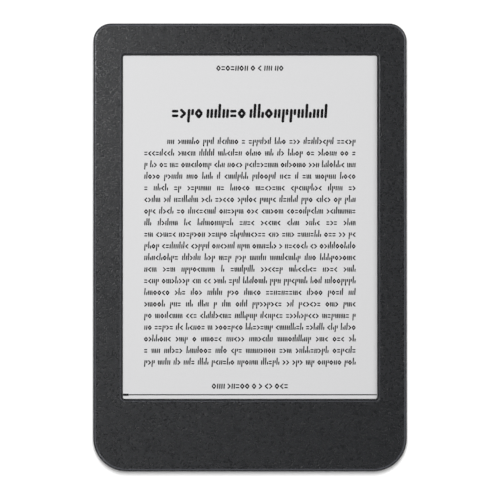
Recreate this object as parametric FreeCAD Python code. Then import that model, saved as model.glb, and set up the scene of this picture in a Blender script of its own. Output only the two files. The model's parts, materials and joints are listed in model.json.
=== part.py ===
"""E-reader with a six-inch reflective display, lying on its back.

Sizes are in millimetres. The origin is the middle of the footprint, on the surface that the reader
lies on. +Z points out of the screen, +Y to the top edge and +X to the right-hand edge.
"""

import os

import FreeCAD
import Part

Vector = FreeCAD.Vector

# ---------------------------------------------------------------- driving sizes of the housing
WIDTH = 112.0
LENGTH = 160.0
TOP_CORNER = 6.3
BOTTOM_CORNER = 12.0
SIDE_BEZEL = 10.6
TOP_BEZEL = 11.5
CHIN = 25.9
WALL = 1.4
BACK_ROUND = 3.2
FRONT_ROUND = 1.0
FRAME_DEPTH = 2.9
SEAM_CHAMFER = 0.12

# ---------------------------------------------------------------- layers, from the back to the front
FLOOR = 1.4
SWELL_GAP = 0.8
CELL_THICKNESS = 3.1
CELL_TAPE = 0.15
MIDFRAME_THICKNESS = 0.8
PANEL_TAPE = 0.15
BACKPLANE = 0.6
LAMINATE = 0.3
LIGHT_GUIDE = 0.5
TOUCH_FILM = 0.2
SCREEN_GASKET = 0.2
LIP = 1.0

# ---------------------------------------------------------------- fits and small details
FIT = 0.1
SLIDING_FIT = 0.2
CLOSE = 0.02
FREE = 0.3
OVERCUT = 1.0
LEVEL_TOLERANCE = 1e-4
SKIRT_THICKNESS = 0.9
SKIRT_DEPTH = 1.6
SEAL_WIDTH = 0.6
SEAL_HEIGHT = 0.4
RIM_LIP = 0.7
WINDOW_CORNER = 0.7
WINDOW_LEAN = 0.75
WINDOW_LIP_ROUND = 0.45
HOOK_LENGTH = 8.0
HOOK_REACH = 0.5
HOOK_HEIGHT = 0.6
HOOK_RISE = 0.4
HOOK_ROOT = 0.3
SIDE_HOOKS = 4
HOOK_FROM_BOTTOM = 34.0
HOOK_FROM_TOP = 26.0
HOOK_FROM_SIDE = 25.2
POST_DIAMETER = 3.0
POST_FROM_SIDE = 25.2
FLOOR_ROOT = 0.7
FLOOR_RIBS = 3
FLOOR_RIB_WIDTH = 0.8
FLOOR_RIB_HEIGHT = 0.5
FLOOR_RIB_FROM_SIDE = 8.0
FLOOR_RIB_FROM_CELL = 5.0
FLOOR_RIB_FROM_TOP = 12.0

# ---------------------------------------------------------------- midframe
FENCE_HEIGHT = 1.2
FENCE_WALL = 0.8
STIFFENER_SPACING = 8.0
STIFFENER_WIDTH = 1.0
STIFFENER_HEIGHT = 0.9
PAD_DIAMETER = 3.2
SLOT_SIDE_GAP = 0.8

# ---------------------------------------------------------------- display
PANEL_BORDER = 3.1
PANEL_LEDGE = 12.0
LAMINATE_INSET = 1.2
GUIDE_INSET = 0.5
FILM_INSET = 0.2
FILM_FOOT = 2.0
FLEX = 0.12
FLEX_BOND = 1.9
GASKET_SETBACK = 1.0
GASKET_FOOT = 1.0
GASKET_CORNER = 1.0
TAPE_WIDTH = 8.0
TAPE_FROM_SIDE = 4.0
TAPE_FROM_BOTTOM = 12.0
TAPE_FROM_TOP = 6.0
LED_COUNT = 11
LED_SIZE = (3.0, 1.0, 0.6)
LED_FROM_SIDE = 8.0
LED_STRIP_WIDTH = 3.4
LED_STRIP_FROM_SIDE = 5.0
TAIL_OVERLAP = 0.5
DRIVER_SIZE = (22.0, 1.6, 0.3)
DRIVER_FROM_EDGE = 2.9
DRIVER_CENTRES = (-26.0, 14.0)

# ---------------------------------------------------------------- mainboard and what is on it
BOARD_THICKNESS = 0.8
BOARD_STANDOFF = 0.3
BOARD_SIDE_MARGIN = 13.0
BOARD_BOTTOM_MARGIN = 3.5
BOARD_LENGTH = 36.5
BOARD_CORNER = 2.0
LOW_SCREW_INSET = (4.0, 3.5)
HIGH_SCREW_INSET = 2.5
ZIF_HEIGHT = 1.0
ZIF_DEPTH = 4.0
ZIF_REACH = 2.0
ZIF_END = 1.2
ZIF_PLAY = 0.04
ZIF_FROM_SLOT = 1.4
SLOT_WIDTH = 2.4
SLOT_FROM_EDGE = 9.8
TAIL_BEND = 1.0
DISPLAY_TAIL = 22.0
DISPLAY_TAIL_FROM_SIDE = 8.0
TOUCH_TAIL = (-20.0, -13.0)
LIGHT_TAIL = (-10.5, -5.5)
CHIP_HEIGHT = 1.0
CHIP_FOOT = 0.15
CHIP_FOOT_INSET = 0.3
CHIP_CHAMFER = 0.12
SHIELD_SIZE = (32.0, 17.0, 1.5)
SHIELD_WALL = 0.2
SHIELD_FROM_SIDE = 5.0
SHIELD_FROM_TOP = 3.5
SHIELD_CHIP_GAP = 1.8
VENT_DIAMETER = 1.0
VENT_PITCH = 4.0
VENT_COLUMNS = 7
VENT_FROM_MIDDLE = 5.0
PROCESSOR_SIZE = (13.0, 13.0)
MEMORY_SIZE = (11.0, 14.0)
STORAGE_SIZE = (11.5, 13.0)
STORAGE_GAP = 3.2
POWER_CHIP_SIZE = (6.0, 6.0)
POWER_CHIP_HEIGHT = 0.8
POWER_CHIP_FROM_BUTTON = (14.0, 8.0)
TOUCH_CHIP_SIZE = (4.0, 4.0)
TOUCH_CHIP_HEIGHT = 0.6
TOUCH_CHIP_FROM_TAIL = 2.0
TOUCH_CHIP_GAP = 2.2
WIFI_SIZE = 11.0
WIFI_CAN_INSET = 0.3
WIFI_BASE = 0.4
WIFI_HEIGHT = 1.6
WIFI_FROM_BUTTON = 1.0
WIFI_GAP = 0.6
WIFI_ROUND = 0.3
ANTENNA_LENGTH = 18.0
ANTENNA_WIDTH = 1.0
ANTENNA_HEIGHT = 1.6
ANTENNA_THICKNESS = 0.25
ANTENNA_LEG = 0.8
ANTENNA_FEED = 5.0
ANTENNA_FROM_SIDE = 9.0
ANTENNA_FROM_EDGE = 0.4
PASSIVE_SIZE = (1.0, 0.6)
PASSIVE_HEIGHT = 0.5
PASSIVE_PITCH = 2.2
PASSIVE_ROWS = 2
PASSIVE_COLUMNS = 11
PASSIVE_FROM_USB = 7.5
PASSIVE_FROM_EDGE = 1.6
INDUCTOR_SIZE = 2.5
INDUCTOR_HEIGHT = 1.2
INDUCTOR_PITCH = 3.6
INDUCTOR_COUNT = 3
INDUCTOR_ROUND = 0.3
INDUCTOR_FROM_BUTTON = (11.5, 14.5)
HALL_SIZE = (1.6, 2.9)
HALL_FROM_SIDE = 2.6
HALL_FROM_TOP = 23.5

# ---------------------------------------------------------------- battery
CELL_WIDTH = 58.0
CELL_LENGTH = 82.0
CELL_SHIFT = -8.0
CELL_CORNER = 2.0
CELL_ROUND = 0.6
CELL_TAPE_WIDTH = 12.0
CELL_TAPE_INSET = 6.0
PCM_SIZE = (40.0, 4.0, 1.6)
LEAD_GAP = 4.0
LEAD_DIAMETER = 0.8
LEAD_PITCH = 1.3
LEAD_COUNT = 3
LEAD_X = -14.0
LEAD_STRAIGHT = 1.0
LEAD_TRIM = 0.4
PLUG_WIDTH = 5.6
PLUG_HEIGHT = 1.2
PLUG_LENGTH = 3.4
PLUG_STANDS_OUT = 0.8
PLUG_CHAMFER = 0.15
PLUG_DEPTH = 0.9
SOCKET_HEIGHT = 1.8
SOCKET_WALL = 0.7
SOCKET_BACK = 1.3
SOCKET_FROM_EDGE = 0.2

# ---------------------------------------------------------------- USB-C receptacle
USB_WIDTH = 8.94
USB_HEIGHT = 3.16
USB_WALL = 0.3
USB_LENGTH = 7.35
USB_RECESS = 0.7
USB_TONGUE = (6.69, 0.7)
USB_TONGUE_SETBACK = 0.9
USB_TONGUE_ROOT = 1.0
USB_BASE_DEPTH = 1.3
USB_ABOVE_BOARD = 0.18
USB_SLOT_GAP = 0.17
USB_TAB = (1.2, 1.6, 0.25)
USB_TAB_FROM_BACK = 1.4
USB_CONTACTS = 12
USB_CONTACT_PITCH = 0.5
USB_CONTACT = (0.24, 0.06)
USB_CONTACT_SETBACK = 0.4
USB_SEAL_WALL = 0.7

# ---------------------------------------------------------------- power button, on the back
BUTTON_FROM_SIDE = 22.0
BUTTON_FROM_BOTTOM = 18.0
BUTTON_DIAMETER = 9.0
BUTTON_RECESS = 0.3
BUTTON_FLANGE = 0.8
BUTTON_FLANGE_HEIGHT = 0.4
BUTTON_STEM = 2.4
BUTTON_TRAVEL = 0.3
BUTTON_ROUND = 0.2
COUNTERSINK = 0.6
DISH_RADIUS = 22.0
DISH_DEPTH = 0.3
MEMBRANE = 0.25
COLLAR_WALL = 1.3
SWITCH_SIZE = 5.2
SWITCH_LID = 0.3
SWITCH_WALL = 0.7
PLUNGER_DIAMETER = 2.0
PLUNGER_SHOWS = 0.15
PLUNGER_HEAD = 0.25
PLUNGER_LIFT = 0.05
DOME_THICKNESS = 0.08
DOME_SEAT = 0.05
DOME_STEPS = 6
STATUS_LED_SIZE = (1.6, 0.8)
STATUS_LED_HEIGHT = 0.6
LIGHT_PIPE_DIAMETER = 1.6
LIGHT_PIPE_OFFSET = 10.5
LIGHT_PIPE_RECESS = 0.05
LIGHT_PIPE_FLANGE = 0.7
LIGHT_PIPE_FLANGE_HEIGHT = 0.4
PIPE_SEAT_RISE = 0.3
PIPE_SEAT_WALL = 1.2

# ---------------------------------------------------------------- screws
SCREW_DIAMETER = 1.4
SCREW_HEAD = 2.8
SCREW_HEAD_HEIGHT = 0.7
SCREW_HEAD_ROUND = 0.25
CROSS_LENGTH = 1.5
CROSS_WIDTH = 0.3
CROSS_DEPTH = 0.35
SCREW_TIP_GAP = 0.35
HOLE_INTO_LIP = 0.2
BOSS_DIAMETER = 3.6
SIDE_SCREWS = 4
SCREW_FROM_SIDE = 4.9
SCREW_FROM_END = 16.0
TOP_SCREW_FROM_SIDE = 30.8

# ---------------------------------------------------------------- levels that follow from the layers
Z_CELL = FLOOR + SWELL_GAP
Z_CELL_TOP = Z_CELL + CELL_THICKNESS
Z_MIDFRAME = Z_CELL_TOP + CELL_TAPE
Z_MIDFRAME_TOP = Z_MIDFRAME + MIDFRAME_THICKNESS
Z_BACKPLANE = Z_MIDFRAME_TOP + PANEL_TAPE
Z_LAMINATE = Z_BACKPLANE + BACKPLANE
Z_GUIDE = Z_LAMINATE + LAMINATE
Z_FILM = Z_GUIDE + LIGHT_GUIDE
Z_GASKET = Z_FILM + TOUCH_FILM
Z_LIP = Z_GASKET + SCREEN_GASKET
Z_TOP = Z_LIP + LIP
Z_SEAM = Z_TOP - FRAME_DEPTH
Z_SKIRT = Z_SEAM - SKIRT_DEPTH
Z_BOARD_TOP = Z_MIDFRAME - BOARD_STANDOFF
Z_BOARD = Z_BOARD_TOP - BOARD_THICKNESS
Z_ZIF_MOUTH = Z_BOARD - ZIF_HEIGHT / 2
Z_HOOK = Z_SKIRT + HOOK_RISE
DOME_STACK = SWITCH_LID + PLUNGER_LIFT + PLUNGER_HEAD + CLOSE + DOME_THICKNESS
SWITCH_HEIGHT = DOME_STACK + BUTTON_TRAVEL + FREE
Z_PLUNGER = Z_BOARD - SWITCH_HEIGHT - PLUNGER_SHOWS
Z_MEMBRANE = Z_PLUNGER - CLOSE - MEMBRANE
Z_USB = Z_BOARD_TOP + USB_ABOVE_BOARD - USB_HEIGHT / 2
Z_CHAMBER = Z_BOARD - SWITCH_HEIGHT + SWITCH_LID
Z_PLUNGER_HEAD = Z_CHAMBER + PLUNGER_LIFT
Z_PLUG = Z_BOARD - PLUG_DEPTH
Z_PCM = (Z_CELL + Z_CELL_TOP) / 2

# ---------------------------------------------------------------- places that follow from the outline
RIGHT = WIDTH / 2
TOP = LENGTH / 2
BOTTOM = -LENGTH / 2
SKIRT_OUT = WALL + FIT
SKIRT_IN = SKIRT_OUT + SKIRT_THICKNESS
MIDFRAME_INSET = SKIRT_IN + FREE
WINDOW_RIGHT = RIGHT - SIDE_BEZEL
WINDOW_TOP = TOP - TOP_BEZEL
WINDOW_BOTTOM = BOTTOM + CHIN
PANEL_RIGHT = WINDOW_RIGHT + PANEL_BORDER
PANEL_TOP = WINDOW_TOP + PANEL_BORDER
PANEL_BOTTOM = WINDOW_BOTTOM - PANEL_LEDGE
GUIDE_BOTTOM = WINDOW_BOTTOM - PANEL_BORDER
BOARD_RIGHT = RIGHT - BOARD_SIDE_MARGIN
BOARD_BOTTOM = BOTTOM + BOARD_BOTTOM_MARGIN
BOARD_TOP = BOARD_BOTTOM + BOARD_LENGTH
SLOT_LOW = BOTTOM + SLOT_FROM_EDGE
SLOT_MIDDLE = SLOT_LOW + SLOT_WIDTH / 2
SLOT_HIGH = SLOT_LOW + SLOT_WIDTH
ZIF_LOW = SLOT_HIGH + ZIF_FROM_SLOT
PCM_LOW = BOARD_TOP + LEAD_GAP
CELL_LOW = PCM_LOW + PCM_SIZE[1]
CELL_HIGH = CELL_LOW + CELL_LENGTH
CELL_LEFT = CELL_SHIFT - CELL_WIDTH / 2
CELL_RIGHT = CELL_SHIFT + CELL_WIDTH / 2
USB_MOUTH = BOTTOM + USB_RECESS
USB_BACK = USB_MOUTH + USB_LENGTH
BUTTON_X = -RIGHT + BUTTON_FROM_SIDE
BUTTON_Y = BOTTOM + BUTTON_FROM_BOTTOM
LED_X = BUTTON_X + LIGHT_PIPE_OFFSET
DISPLAY_TAIL_HIGH = BOARD_RIGHT - DISPLAY_TAIL_FROM_SIDE
DISPLAY_TAIL_RANGE = (DISPLAY_TAIL_HIGH - DISPLAY_TAIL, DISPLAY_TAIL_HIGH)
PLUG_HIGH = BOARD_TOP + PLUG_STANDS_OUT
PLUG_LOW = PLUG_HIGH - PLUG_LENGTH


# ---------------------------------------------------------------- building blocks
def block(x, y, z):
    """A box from three (low, high) pairs."""
    return Part.makeBox(x[1] - x[0], y[1] - y[0], z[1] - z[0], Vector(x[0], y[0], z[0]))


def block_at(centre, size, z):
    """A box of the given width and length about a centre, between two levels."""
    x = (centre[0] - size[0] / 2, centre[0] + size[0] / 2)
    y = (centre[1] - size[1] / 2, centre[1] + size[1] / 2)
    return block(x, y, z)


def rod(x, y, z0, z1, diameter):
    return Part.makeCylinder(diameter / 2, z1 - z0, Vector(x, y, z0))


def rounded_wire(x, y, z, low_radius, high_radius):
    """A rectangle with one radius at its two low corners and another at its two high corners."""
    corners = [
        (x[1], y[0], low_radius, 270),
        (x[1], y[1], high_radius, 0),
        (x[0], y[1], high_radius, 90),
        (x[0], y[0], low_radius, 180),
    ]
    arcs = []
    for corner_x, corner_y, radius, start in corners:
        centre_x = corner_x - radius if corner_x == x[1] else corner_x + radius
        centre_y = corner_y - radius if corner_y == y[1] else corner_y + radius
        arcs.append(
            Part.makeCircle(radius, Vector(centre_x, centre_y, z), Vector(0, 0, 1), start, start + 90)
        )
    edges = []
    for this, following in zip(arcs, arcs[1:] + arcs[:1]):
        edges.append(this)
        edges.append(Part.makeLine(this.lastVertex().Point, following.firstVertex().Point))
    return Part.Wire(edges)


def rounded_block(x, y, z, low_radius, high_radius=None):
    high_radius = low_radius if high_radius is None else high_radius
    face = Part.Face(rounded_wire(x, y, z[0], low_radius, high_radius))
    return face.extrude(Vector(0, 0, z[1] - z[0]))


def housing_slab(inset, z0, z1):
    """The reader's outline, moved in by inset, between two levels."""
    return rounded_block(
        (-RIGHT + inset, RIGHT - inset),
        (BOTTOM + inset, TOP - inset),
        (z0, z1),
        BOTTOM_CORNER - inset,
        TOP_CORNER - inset,
    )


def housing_ring(outer_inset, inner_inset, z0, z1):
    return housing_slab(outer_inset, z0, z1).cut(housing_slab(inner_inset, z0, z1))


def edges_at_level(shape, z, inside=None):
    """The edges that lie in a level plane, or only those within a centred (half width, y, y) box."""
    found = []
    for edge in shape.Edges:
        box = edge.BoundBox
        if max(abs(box.ZMin - z), abs(box.ZMax - z)) > LEVEL_TOLERANCE:
            continue
        if inside and (
            max(abs(box.XMin), abs(box.XMax)) > inside[0]
            or box.YMin < inside[1]
            or box.YMax > inside[2]
        ):
            continue
        found.append(edge)
    return found


def stadium(width, height, y0, y1, z):
    """A bar along Y with half-round sides, centred on X = 0 at level z."""
    radius = height / 2
    flat = width / 2 - radius
    wire = Part.Wire(
        [
            Part.makeLine(Vector(-flat, y0, z - radius), Vector(flat, y0, z - radius)),
            Part.Arc(
                Vector(flat, y0, z - radius),
                Vector(flat + radius, y0, z),
                Vector(flat, y0, z + radius),
            ).toShape(),
            Part.makeLine(Vector(flat, y0, z + radius), Vector(-flat, y0, z + radius)),
            Part.Arc(
                Vector(-flat, y0, z + radius),
                Vector(-flat - radius, y0, z),
                Vector(-flat, y0, z - radius),
            ).toShape(),
        ]
    )
    return Part.Face(wire).extrude(Vector(0, y1 - y0, 0))


def revolved(profile):
    """A solid turned about the Z axis at the origin, from (radius, z) points."""
    points = [Vector(radius, 0, z) for radius, z in profile]
    face = Part.Face(Part.makePolygon(points + points[:1]))
    return face.revolve(Vector(0, 0, 0), Vector(0, 0, 1), 360)


def evenly(low, high, count):
    return [low + (high - low) * i / (count - 1) for i in range(count)]


def joined(shapes):
    result = shapes[0].multiFuse(shapes[1:])
    return result.removeSplitter()


# ---------------------------------------------------------------- shared places
def side_screw_places():
    x = RIGHT - SCREW_FROM_SIDE
    rows = evenly(BOTTOM + SCREW_FROM_END, TOP - SCREW_FROM_END, SIDE_SCREWS)
    places = [(side * x, y) for y in rows for side in (-1, 1)]
    top_x = RIGHT - TOP_SCREW_FROM_SIDE
    return places + [(side * top_x, TOP - SCREW_FROM_SIDE) for side in (-1, 1)]


def low_board_screw_places():
    """These go through the board and the midframe into the front frame."""
    x = BOARD_RIGHT - LOW_SCREW_INSET[0]
    return [(side * x, BOARD_BOTTOM + LOW_SCREW_INSET[1]) for side in (-1, 1)]


def high_board_screw_places():
    """These go through the board into the midframe only."""
    x = BOARD_RIGHT - HIGH_SCREW_INSET
    return [(side * x, BOARD_TOP - HIGH_SCREW_INSET) for side in (-1, 1)]


def tail_slot(tail, z):
    """The slot that a display's flat tail passes through, in the board and in the midframe."""
    return block((tail[0] - SLOT_SIDE_GAP, tail[1] + SLOT_SIDE_GAP), (SLOT_LOW, SLOT_HIGH), z)


def hook_blocks(clearance):
    """The snap hooks inside the rear cover's wall, grown by a clearance."""
    reach = (WALL - HOOK_ROOT, WALL + HOOK_REACH + clearance)
    z = (Z_HOOK - clearance, Z_HOOK + HOOK_HEIGHT + clearance)
    half = HOOK_LENGTH / 2 + clearance
    blocks = []
    for y in evenly(BOTTOM + HOOK_FROM_BOTTOM, TOP - HOOK_FROM_TOP, SIDE_HOOKS):
        along = (y - half, y + half)
        blocks.append(block((-RIGHT + reach[0], -RIGHT + reach[1]), along, z))
        blocks.append(block((RIGHT - reach[1], RIGHT - reach[0]), along, z))
    for x in (HOOK_FROM_SIDE - RIGHT, RIGHT - HOOK_FROM_SIDE):
        along = (x - half, x + half)
        blocks.append(block(along, (BOTTOM + reach[0], BOTTOM + reach[1]), z))
        blocks.append(block(along, (TOP - reach[1], TOP - reach[0]), z))
    blocks.append(block((-half, half), (TOP - reach[1], TOP - reach[0]), z))
    return blocks


# ---------------------------------------------------------------- housing
def window_cutter():
    low = rounded_wire(
        (-WINDOW_RIGHT, WINDOW_RIGHT), (WINDOW_BOTTOM, WINDOW_TOP), Z_LIP, WINDOW_CORNER, WINDOW_CORNER
    )
    radius = WINDOW_CORNER + WINDOW_LEAN
    high = rounded_wire(
        (-WINDOW_RIGHT - WINDOW_LEAN, WINDOW_RIGHT + WINDOW_LEAN),
        (WINDOW_BOTTOM - WINDOW_LEAN, WINDOW_TOP + WINDOW_LEAN),
        Z_TOP,
        radius,
        radius,
    )
    return Part.makeLoft([low, high], True, True)


def front_frame():
    shell = housing_slab(0, Z_SEAM, Z_TOP)
    shell = shell.makeFillet(FRONT_ROUND, edges_at_level(shell, Z_TOP))
    shell = shell.makeChamfer(SEAM_CHAMFER, edges_at_level(shell, Z_SEAM))
    skirt = housing_slab(SKIRT_OUT, Z_SKIRT, Z_SEAM + FIT)
    frame = shell.fuse(skirt).cut(housing_slab(SKIRT_IN, Z_SKIRT - FIT, Z_LIP))
    frame = frame.cut(window_cutter())
    reach = WINDOW_LEAN + FIT
    inside = (WINDOW_RIGHT + reach, WINDOW_BOTTOM - reach, WINDOW_TOP + reach)
    frame = frame.makeFillet(WINDOW_LIP_ROUND, edges_at_level(frame, Z_TOP, inside))
    for x, y in side_screw_places() + low_board_screw_places():
        frame = frame.fuse(rod(x, y, Z_MIDFRAME_TOP, Z_LIP, BOSS_DIAMETER))
        frame = frame.cut(rod(x, y, Z_MIDFRAME_TOP, Z_LIP + HOLE_INTO_LIP, SCREW_DIAMETER + FIT))
    for hook in hook_blocks(SLIDING_FIT):
        frame = frame.cut(hook)
    notch = USB_WIDTH / 2 + USB_SEAL_WALL + FREE
    along = (BOTTOM, BOTTOM + SKIRT_IN + FREE)
    frame = frame.cut(block((-notch, notch), along, (Z_SKIRT - FIT, Z_SEAM)))
    return frame.removeSplitter()


def cover_supports():
    """Posts that hold the back off the midframe, and ribs across the floor above the battery."""
    supports = []
    post_y = (CELL_HIGH + TOP - MIDFRAME_INSET) / 2
    for x in evenly(POST_FROM_SIDE - RIGHT, RIGHT - POST_FROM_SIDE, 3):
        supports.append(rod(x, post_y, FLOOR - FLOOR_ROOT, Z_MIDFRAME - FIT, POST_DIAMETER))
    half_x = RIGHT - FLOOR_RIB_FROM_SIDE
    half_y = FLOOR_RIB_WIDTH / 2
    z = (FLOOR - FLOOR_ROOT, FLOOR + FLOOR_RIB_HEIGHT)
    for y in evenly(CELL_HIGH + FLOOR_RIB_FROM_CELL, TOP - FLOOR_RIB_FROM_TOP, FLOOR_RIBS):
        supports.append(block((-half_x, half_x), (y - half_y, y + half_y), z))
    return supports


def usb_openings():
    """The slot through the cover's wall, and the pocket behind it for the seal."""
    gap = 2 * USB_SLOT_GAP
    pocket_end = BOTTOM + BACK_ROUND + FREE
    slot = stadium(USB_WIDTH + gap, USB_HEIGHT + gap, BOTTOM - OVERCUT, pocket_end, Z_USB)
    return [slot, usb_seal_outer(FIT / 2, BOTTOM + WALL, pocket_end)]


def rear_cover():
    outer = housing_slab(0, 0, Z_SEAM)
    outer = outer.makeFillet(BACK_ROUND, edges_at_level(outer, 0))
    outer = outer.makeChamfer(SEAM_CHAMFER, edges_at_level(outer, Z_SEAM))
    hollow = housing_slab(WALL, FLOOR, Z_SEAM + OVERCUT)
    hollow = hollow.makeFillet(BACK_ROUND - WALL, edges_at_level(hollow, FLOOR))
    cover = outer.cut(hollow)
    cover = cover.cut(housing_ring(RIM_LIP, WALL + FIT, Z_SEAM - SEAL_HEIGHT, Z_SEAM + OVERCUT))
    root = FLOOR - FLOOR_ROOT
    seat_diameter = LIGHT_PIPE_DIAMETER + 2 * PIPE_SEAT_WALL
    added = hook_blocks(0) + cover_supports()
    added.append(rod(BUTTON_X, BUTTON_Y, root, Z_MEMBRANE, collar_diameter()))
    added.append(rod(LED_X, BUTTON_Y, root, FLOOR + PIPE_SEAT_RISE, seat_diameter))
    cover = cover.multiFuse(added)
    bore = collar_diameter() - 2 * COLLAR_WALL
    cuts = [
        rod(BUTTON_X, BUTTON_Y, FLOOR, Z_MEMBRANE, bore),
        rod(BUTTON_X, BUTTON_Y, -OVERCUT, FLOOR + FIT, BUTTON_DIAMETER + 2 * SLIDING_FIT),
        button_countersink(),
        rod(LED_X, BUTTON_Y, -OVERCUT, FLOOR + OVERCUT, LIGHT_PIPE_DIAMETER + FIT),
    ]
    for cut in cuts + usb_openings():
        cover = cover.cut(cut)
    return cover.removeSplitter()


def perimeter_seal():
    return housing_ring(RIM_LIP + FIT / 2, RIM_LIP + FIT / 2 + SEAL_WIDTH, Z_SEAM - SEAL_HEIGHT, Z_SEAM)


def battery_fence():
    """A low wall round the cell under the midframe, open where the leads come out."""
    z = (Z_MIDFRAME - FENCE_HEIGHT, Z_MIDFRAME)
    rings = []
    for gap in (FREE + FENCE_WALL, FREE):
        x = (CELL_LEFT - gap, CELL_RIGHT + gap)
        y = (PCM_LOW - CELL_CORNER - gap, CELL_HIGH + gap)
        rings.append(rounded_block(x, y, z, CELL_CORNER))
    open_end = block((-RIGHT, RIGHT), (BOTTOM, PCM_LOW), z)
    return rings[0].cut(rings[1]).cut(open_end)


def midframe():
    plate = housing_slab(MIDFRAME_INSET, Z_MIDFRAME, Z_MIDFRAME_TOP)
    added = [battery_fence()]
    middle = (CELL_RIGHT + RIGHT - MIDFRAME_INSET) / 2
    z = (Z_MIDFRAME - STIFFENER_HEIGHT, Z_MIDFRAME)
    for x in (middle - STIFFENER_SPACING / 2, middle + STIFFENER_SPACING / 2):
        along = (x - STIFFENER_WIDTH / 2, x + STIFFENER_WIDTH / 2)
        added.append(block(along, (CELL_LOW, CELL_HIGH), z))
    pads = high_board_screw_places() + low_board_screw_places()
    for x, y in pads:
        added.append(rod(x, y, Z_BOARD_TOP, Z_MIDFRAME, PAD_DIAMETER))
    plate = plate.multiFuse(added)
    for x, y in side_screw_places() + pads:
        plate = plate.cut(rod(x, y, Z_BOARD_TOP - FIT, Z_MIDFRAME_TOP, SCREW_DIAMETER + FIT))
    for tail in (DISPLAY_TAIL_RANGE, TOUCH_TAIL, LIGHT_TAIL):
        plate = plate.cut(tail_slot(tail, (Z_BOARD, Z_LIP)))
    return plate.removeSplitter()


# ---------------------------------------------------------------- display stack
def panel_tape():
    """Two long strips of tape that hold the backplane on the midframe."""
    high = PANEL_RIGHT - TAPE_FROM_SIDE
    low = high - TAPE_WIDTH
    y = (PANEL_BOTTOM + TAPE_FROM_BOTTOM, PANEL_TOP - TAPE_FROM_TOP)
    z = (Z_MIDFRAME_TOP, Z_BACKPLANE)
    return Part.makeCompound([block(x, y, z) for x in ((-high, -low), (low, high))])


def display_backplane():
    return block((-PANEL_RIGHT, PANEL_RIGHT), (PANEL_BOTTOM, PANEL_TOP), (Z_BACKPLANE, Z_LAMINATE))


def ink_laminate():
    x = PANEL_RIGHT - LAMINATE_INSET
    y = (GUIDE_BOTTOM + FIT, PANEL_TOP - LAMINATE_INSET)
    return block((-x, x), y, (Z_LAMINATE, Z_GUIDE))


def light_guide():
    x = PANEL_RIGHT - GUIDE_INSET
    return block((-x, x), (GUIDE_BOTTOM, PANEL_TOP - GUIDE_INSET), (Z_GUIDE, Z_FILM))


def touch_film():
    x = PANEL_RIGHT - FILM_INSET
    return block((-x, x), (PANEL_BOTTOM + FILM_FOOT, PANEL_TOP - FILM_INSET), (Z_FILM, Z_GASKET))


def screen_gasket():
    x = PANEL_RIGHT - FILM_INSET
    z = (Z_GASKET, Z_LIP)
    y = (GUIDE_BOTTOM - GASKET_FOOT, PANEL_TOP - FILM_INSET)
    outer = rounded_block((-x, x), y, z, GASKET_CORNER)
    inner_x = WINDOW_RIGHT + GASKET_SETBACK
    inner_y = (WINDOW_BOTTOM - GASKET_SETBACK, WINDOW_TOP + GASKET_SETBACK)
    return outer.cut(rounded_block((-inner_x, inner_x), inner_y, z, GASKET_CORNER))


def light_strip_edge():
    return GUIDE_BOTTOM - CLOSE


def frontlight_leds():
    high = light_strip_edge()
    y = high - LED_SIZE[1] / 2
    z = (Z_LAMINATE + FLEX, Z_LAMINATE + FLEX + LED_SIZE[2])
    places = evenly(LED_FROM_SIDE - PANEL_RIGHT, PANEL_RIGHT - LED_FROM_SIDE, LED_COUNT)
    return Part.makeCompound([block_at((x, y), LED_SIZE, z) for x in places])


def flex_tail(x, y_start, z_start):
    """A flat tail that leaves forwards, bends down through the slots and turns back to its connector."""
    y_bend = SLOT_MIDDLE + TAIL_BEND
    y_end = ZIF_LOW + ZIF_REACH
    upper = Vector(0, y_bend, z_start - TAIL_BEND)
    lower = Vector(0, y_bend, Z_ZIF_MOUTH + TAIL_BEND)
    diagonal = 0.5**0.5

    def skin(radius):
        """One face of the tail, as a chain of edges, bent at a radius."""
        start = upper + Vector(0, y_start - y_bend, radius)
        end = lower + Vector(0, y_end - y_bend, -radius)
        top = upper + Vector(0, 0, radius)
        top_side = upper + Vector(0, -radius, 0)
        low_side = lower + Vector(0, -radius, 0)
        low = lower + Vector(0, 0, -radius)
        middle_high = upper + Vector(0, -radius * diagonal, radius * diagonal)
        middle_low = lower + Vector(0, -radius * diagonal, -radius * diagonal)
        return [
            Part.makeLine(start, top),
            Part.Arc(top, middle_high, top_side).toShape(),
            Part.makeLine(top_side, low_side),
            Part.Arc(low_side, middle_low, low).toShape(),
            Part.makeLine(low, end),
        ]

    outer = skin(TAIL_BEND + FLEX / 2)
    inner = skin(TAIL_BEND - FLEX / 2)
    caps = [
        Part.makeLine(outer[-1].lastVertex().Point, inner[-1].lastVertex().Point),
        Part.makeLine(inner[0].firstVertex().Point, outer[0].firstVertex().Point),
    ]
    outline = Part.Wire(outer + [caps[0]] + inner[::-1] + [caps[1]])
    tail = Part.Face(outline).extrude(Vector(x[1] - x[0], 0, 0))
    tail.translate(Vector(x[0], 0, 0))
    return tail


def display_flex():
    return flex_tail(DISPLAY_TAIL_RANGE, PANEL_BOTTOM + FLEX_BOND, Z_LAMINATE + FLEX / 2)


def touch_flex():
    return flex_tail(TOUCH_TAIL, PANEL_BOTTOM + FILM_FOOT + FLEX_BOND, Z_FILM - FLEX / 2)


def frontlight_flex():
    high = light_strip_edge()
    z = (Z_LAMINATE, Z_LAMINATE + FLEX)
    x = PANEL_RIGHT - LED_STRIP_FROM_SIDE
    strip = block((-x, x), (high - LED_STRIP_WIDTH, high), z)
    tail = flex_tail(LIGHT_TAIL, high - LED_STRIP_WIDTH + TAIL_OVERLAP, Z_LAMINATE + FLEX / 2)
    return joined([strip, tail])


def display_drivers():
    y = PANEL_BOTTOM + DRIVER_FROM_EDGE + DRIVER_SIZE[1] / 2
    z = (Z_LAMINATE, Z_LAMINATE + DRIVER_SIZE[2])
    return Part.makeCompound([block_at((x, y), DRIVER_SIZE, z) for x in DRIVER_CENTRES])


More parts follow.
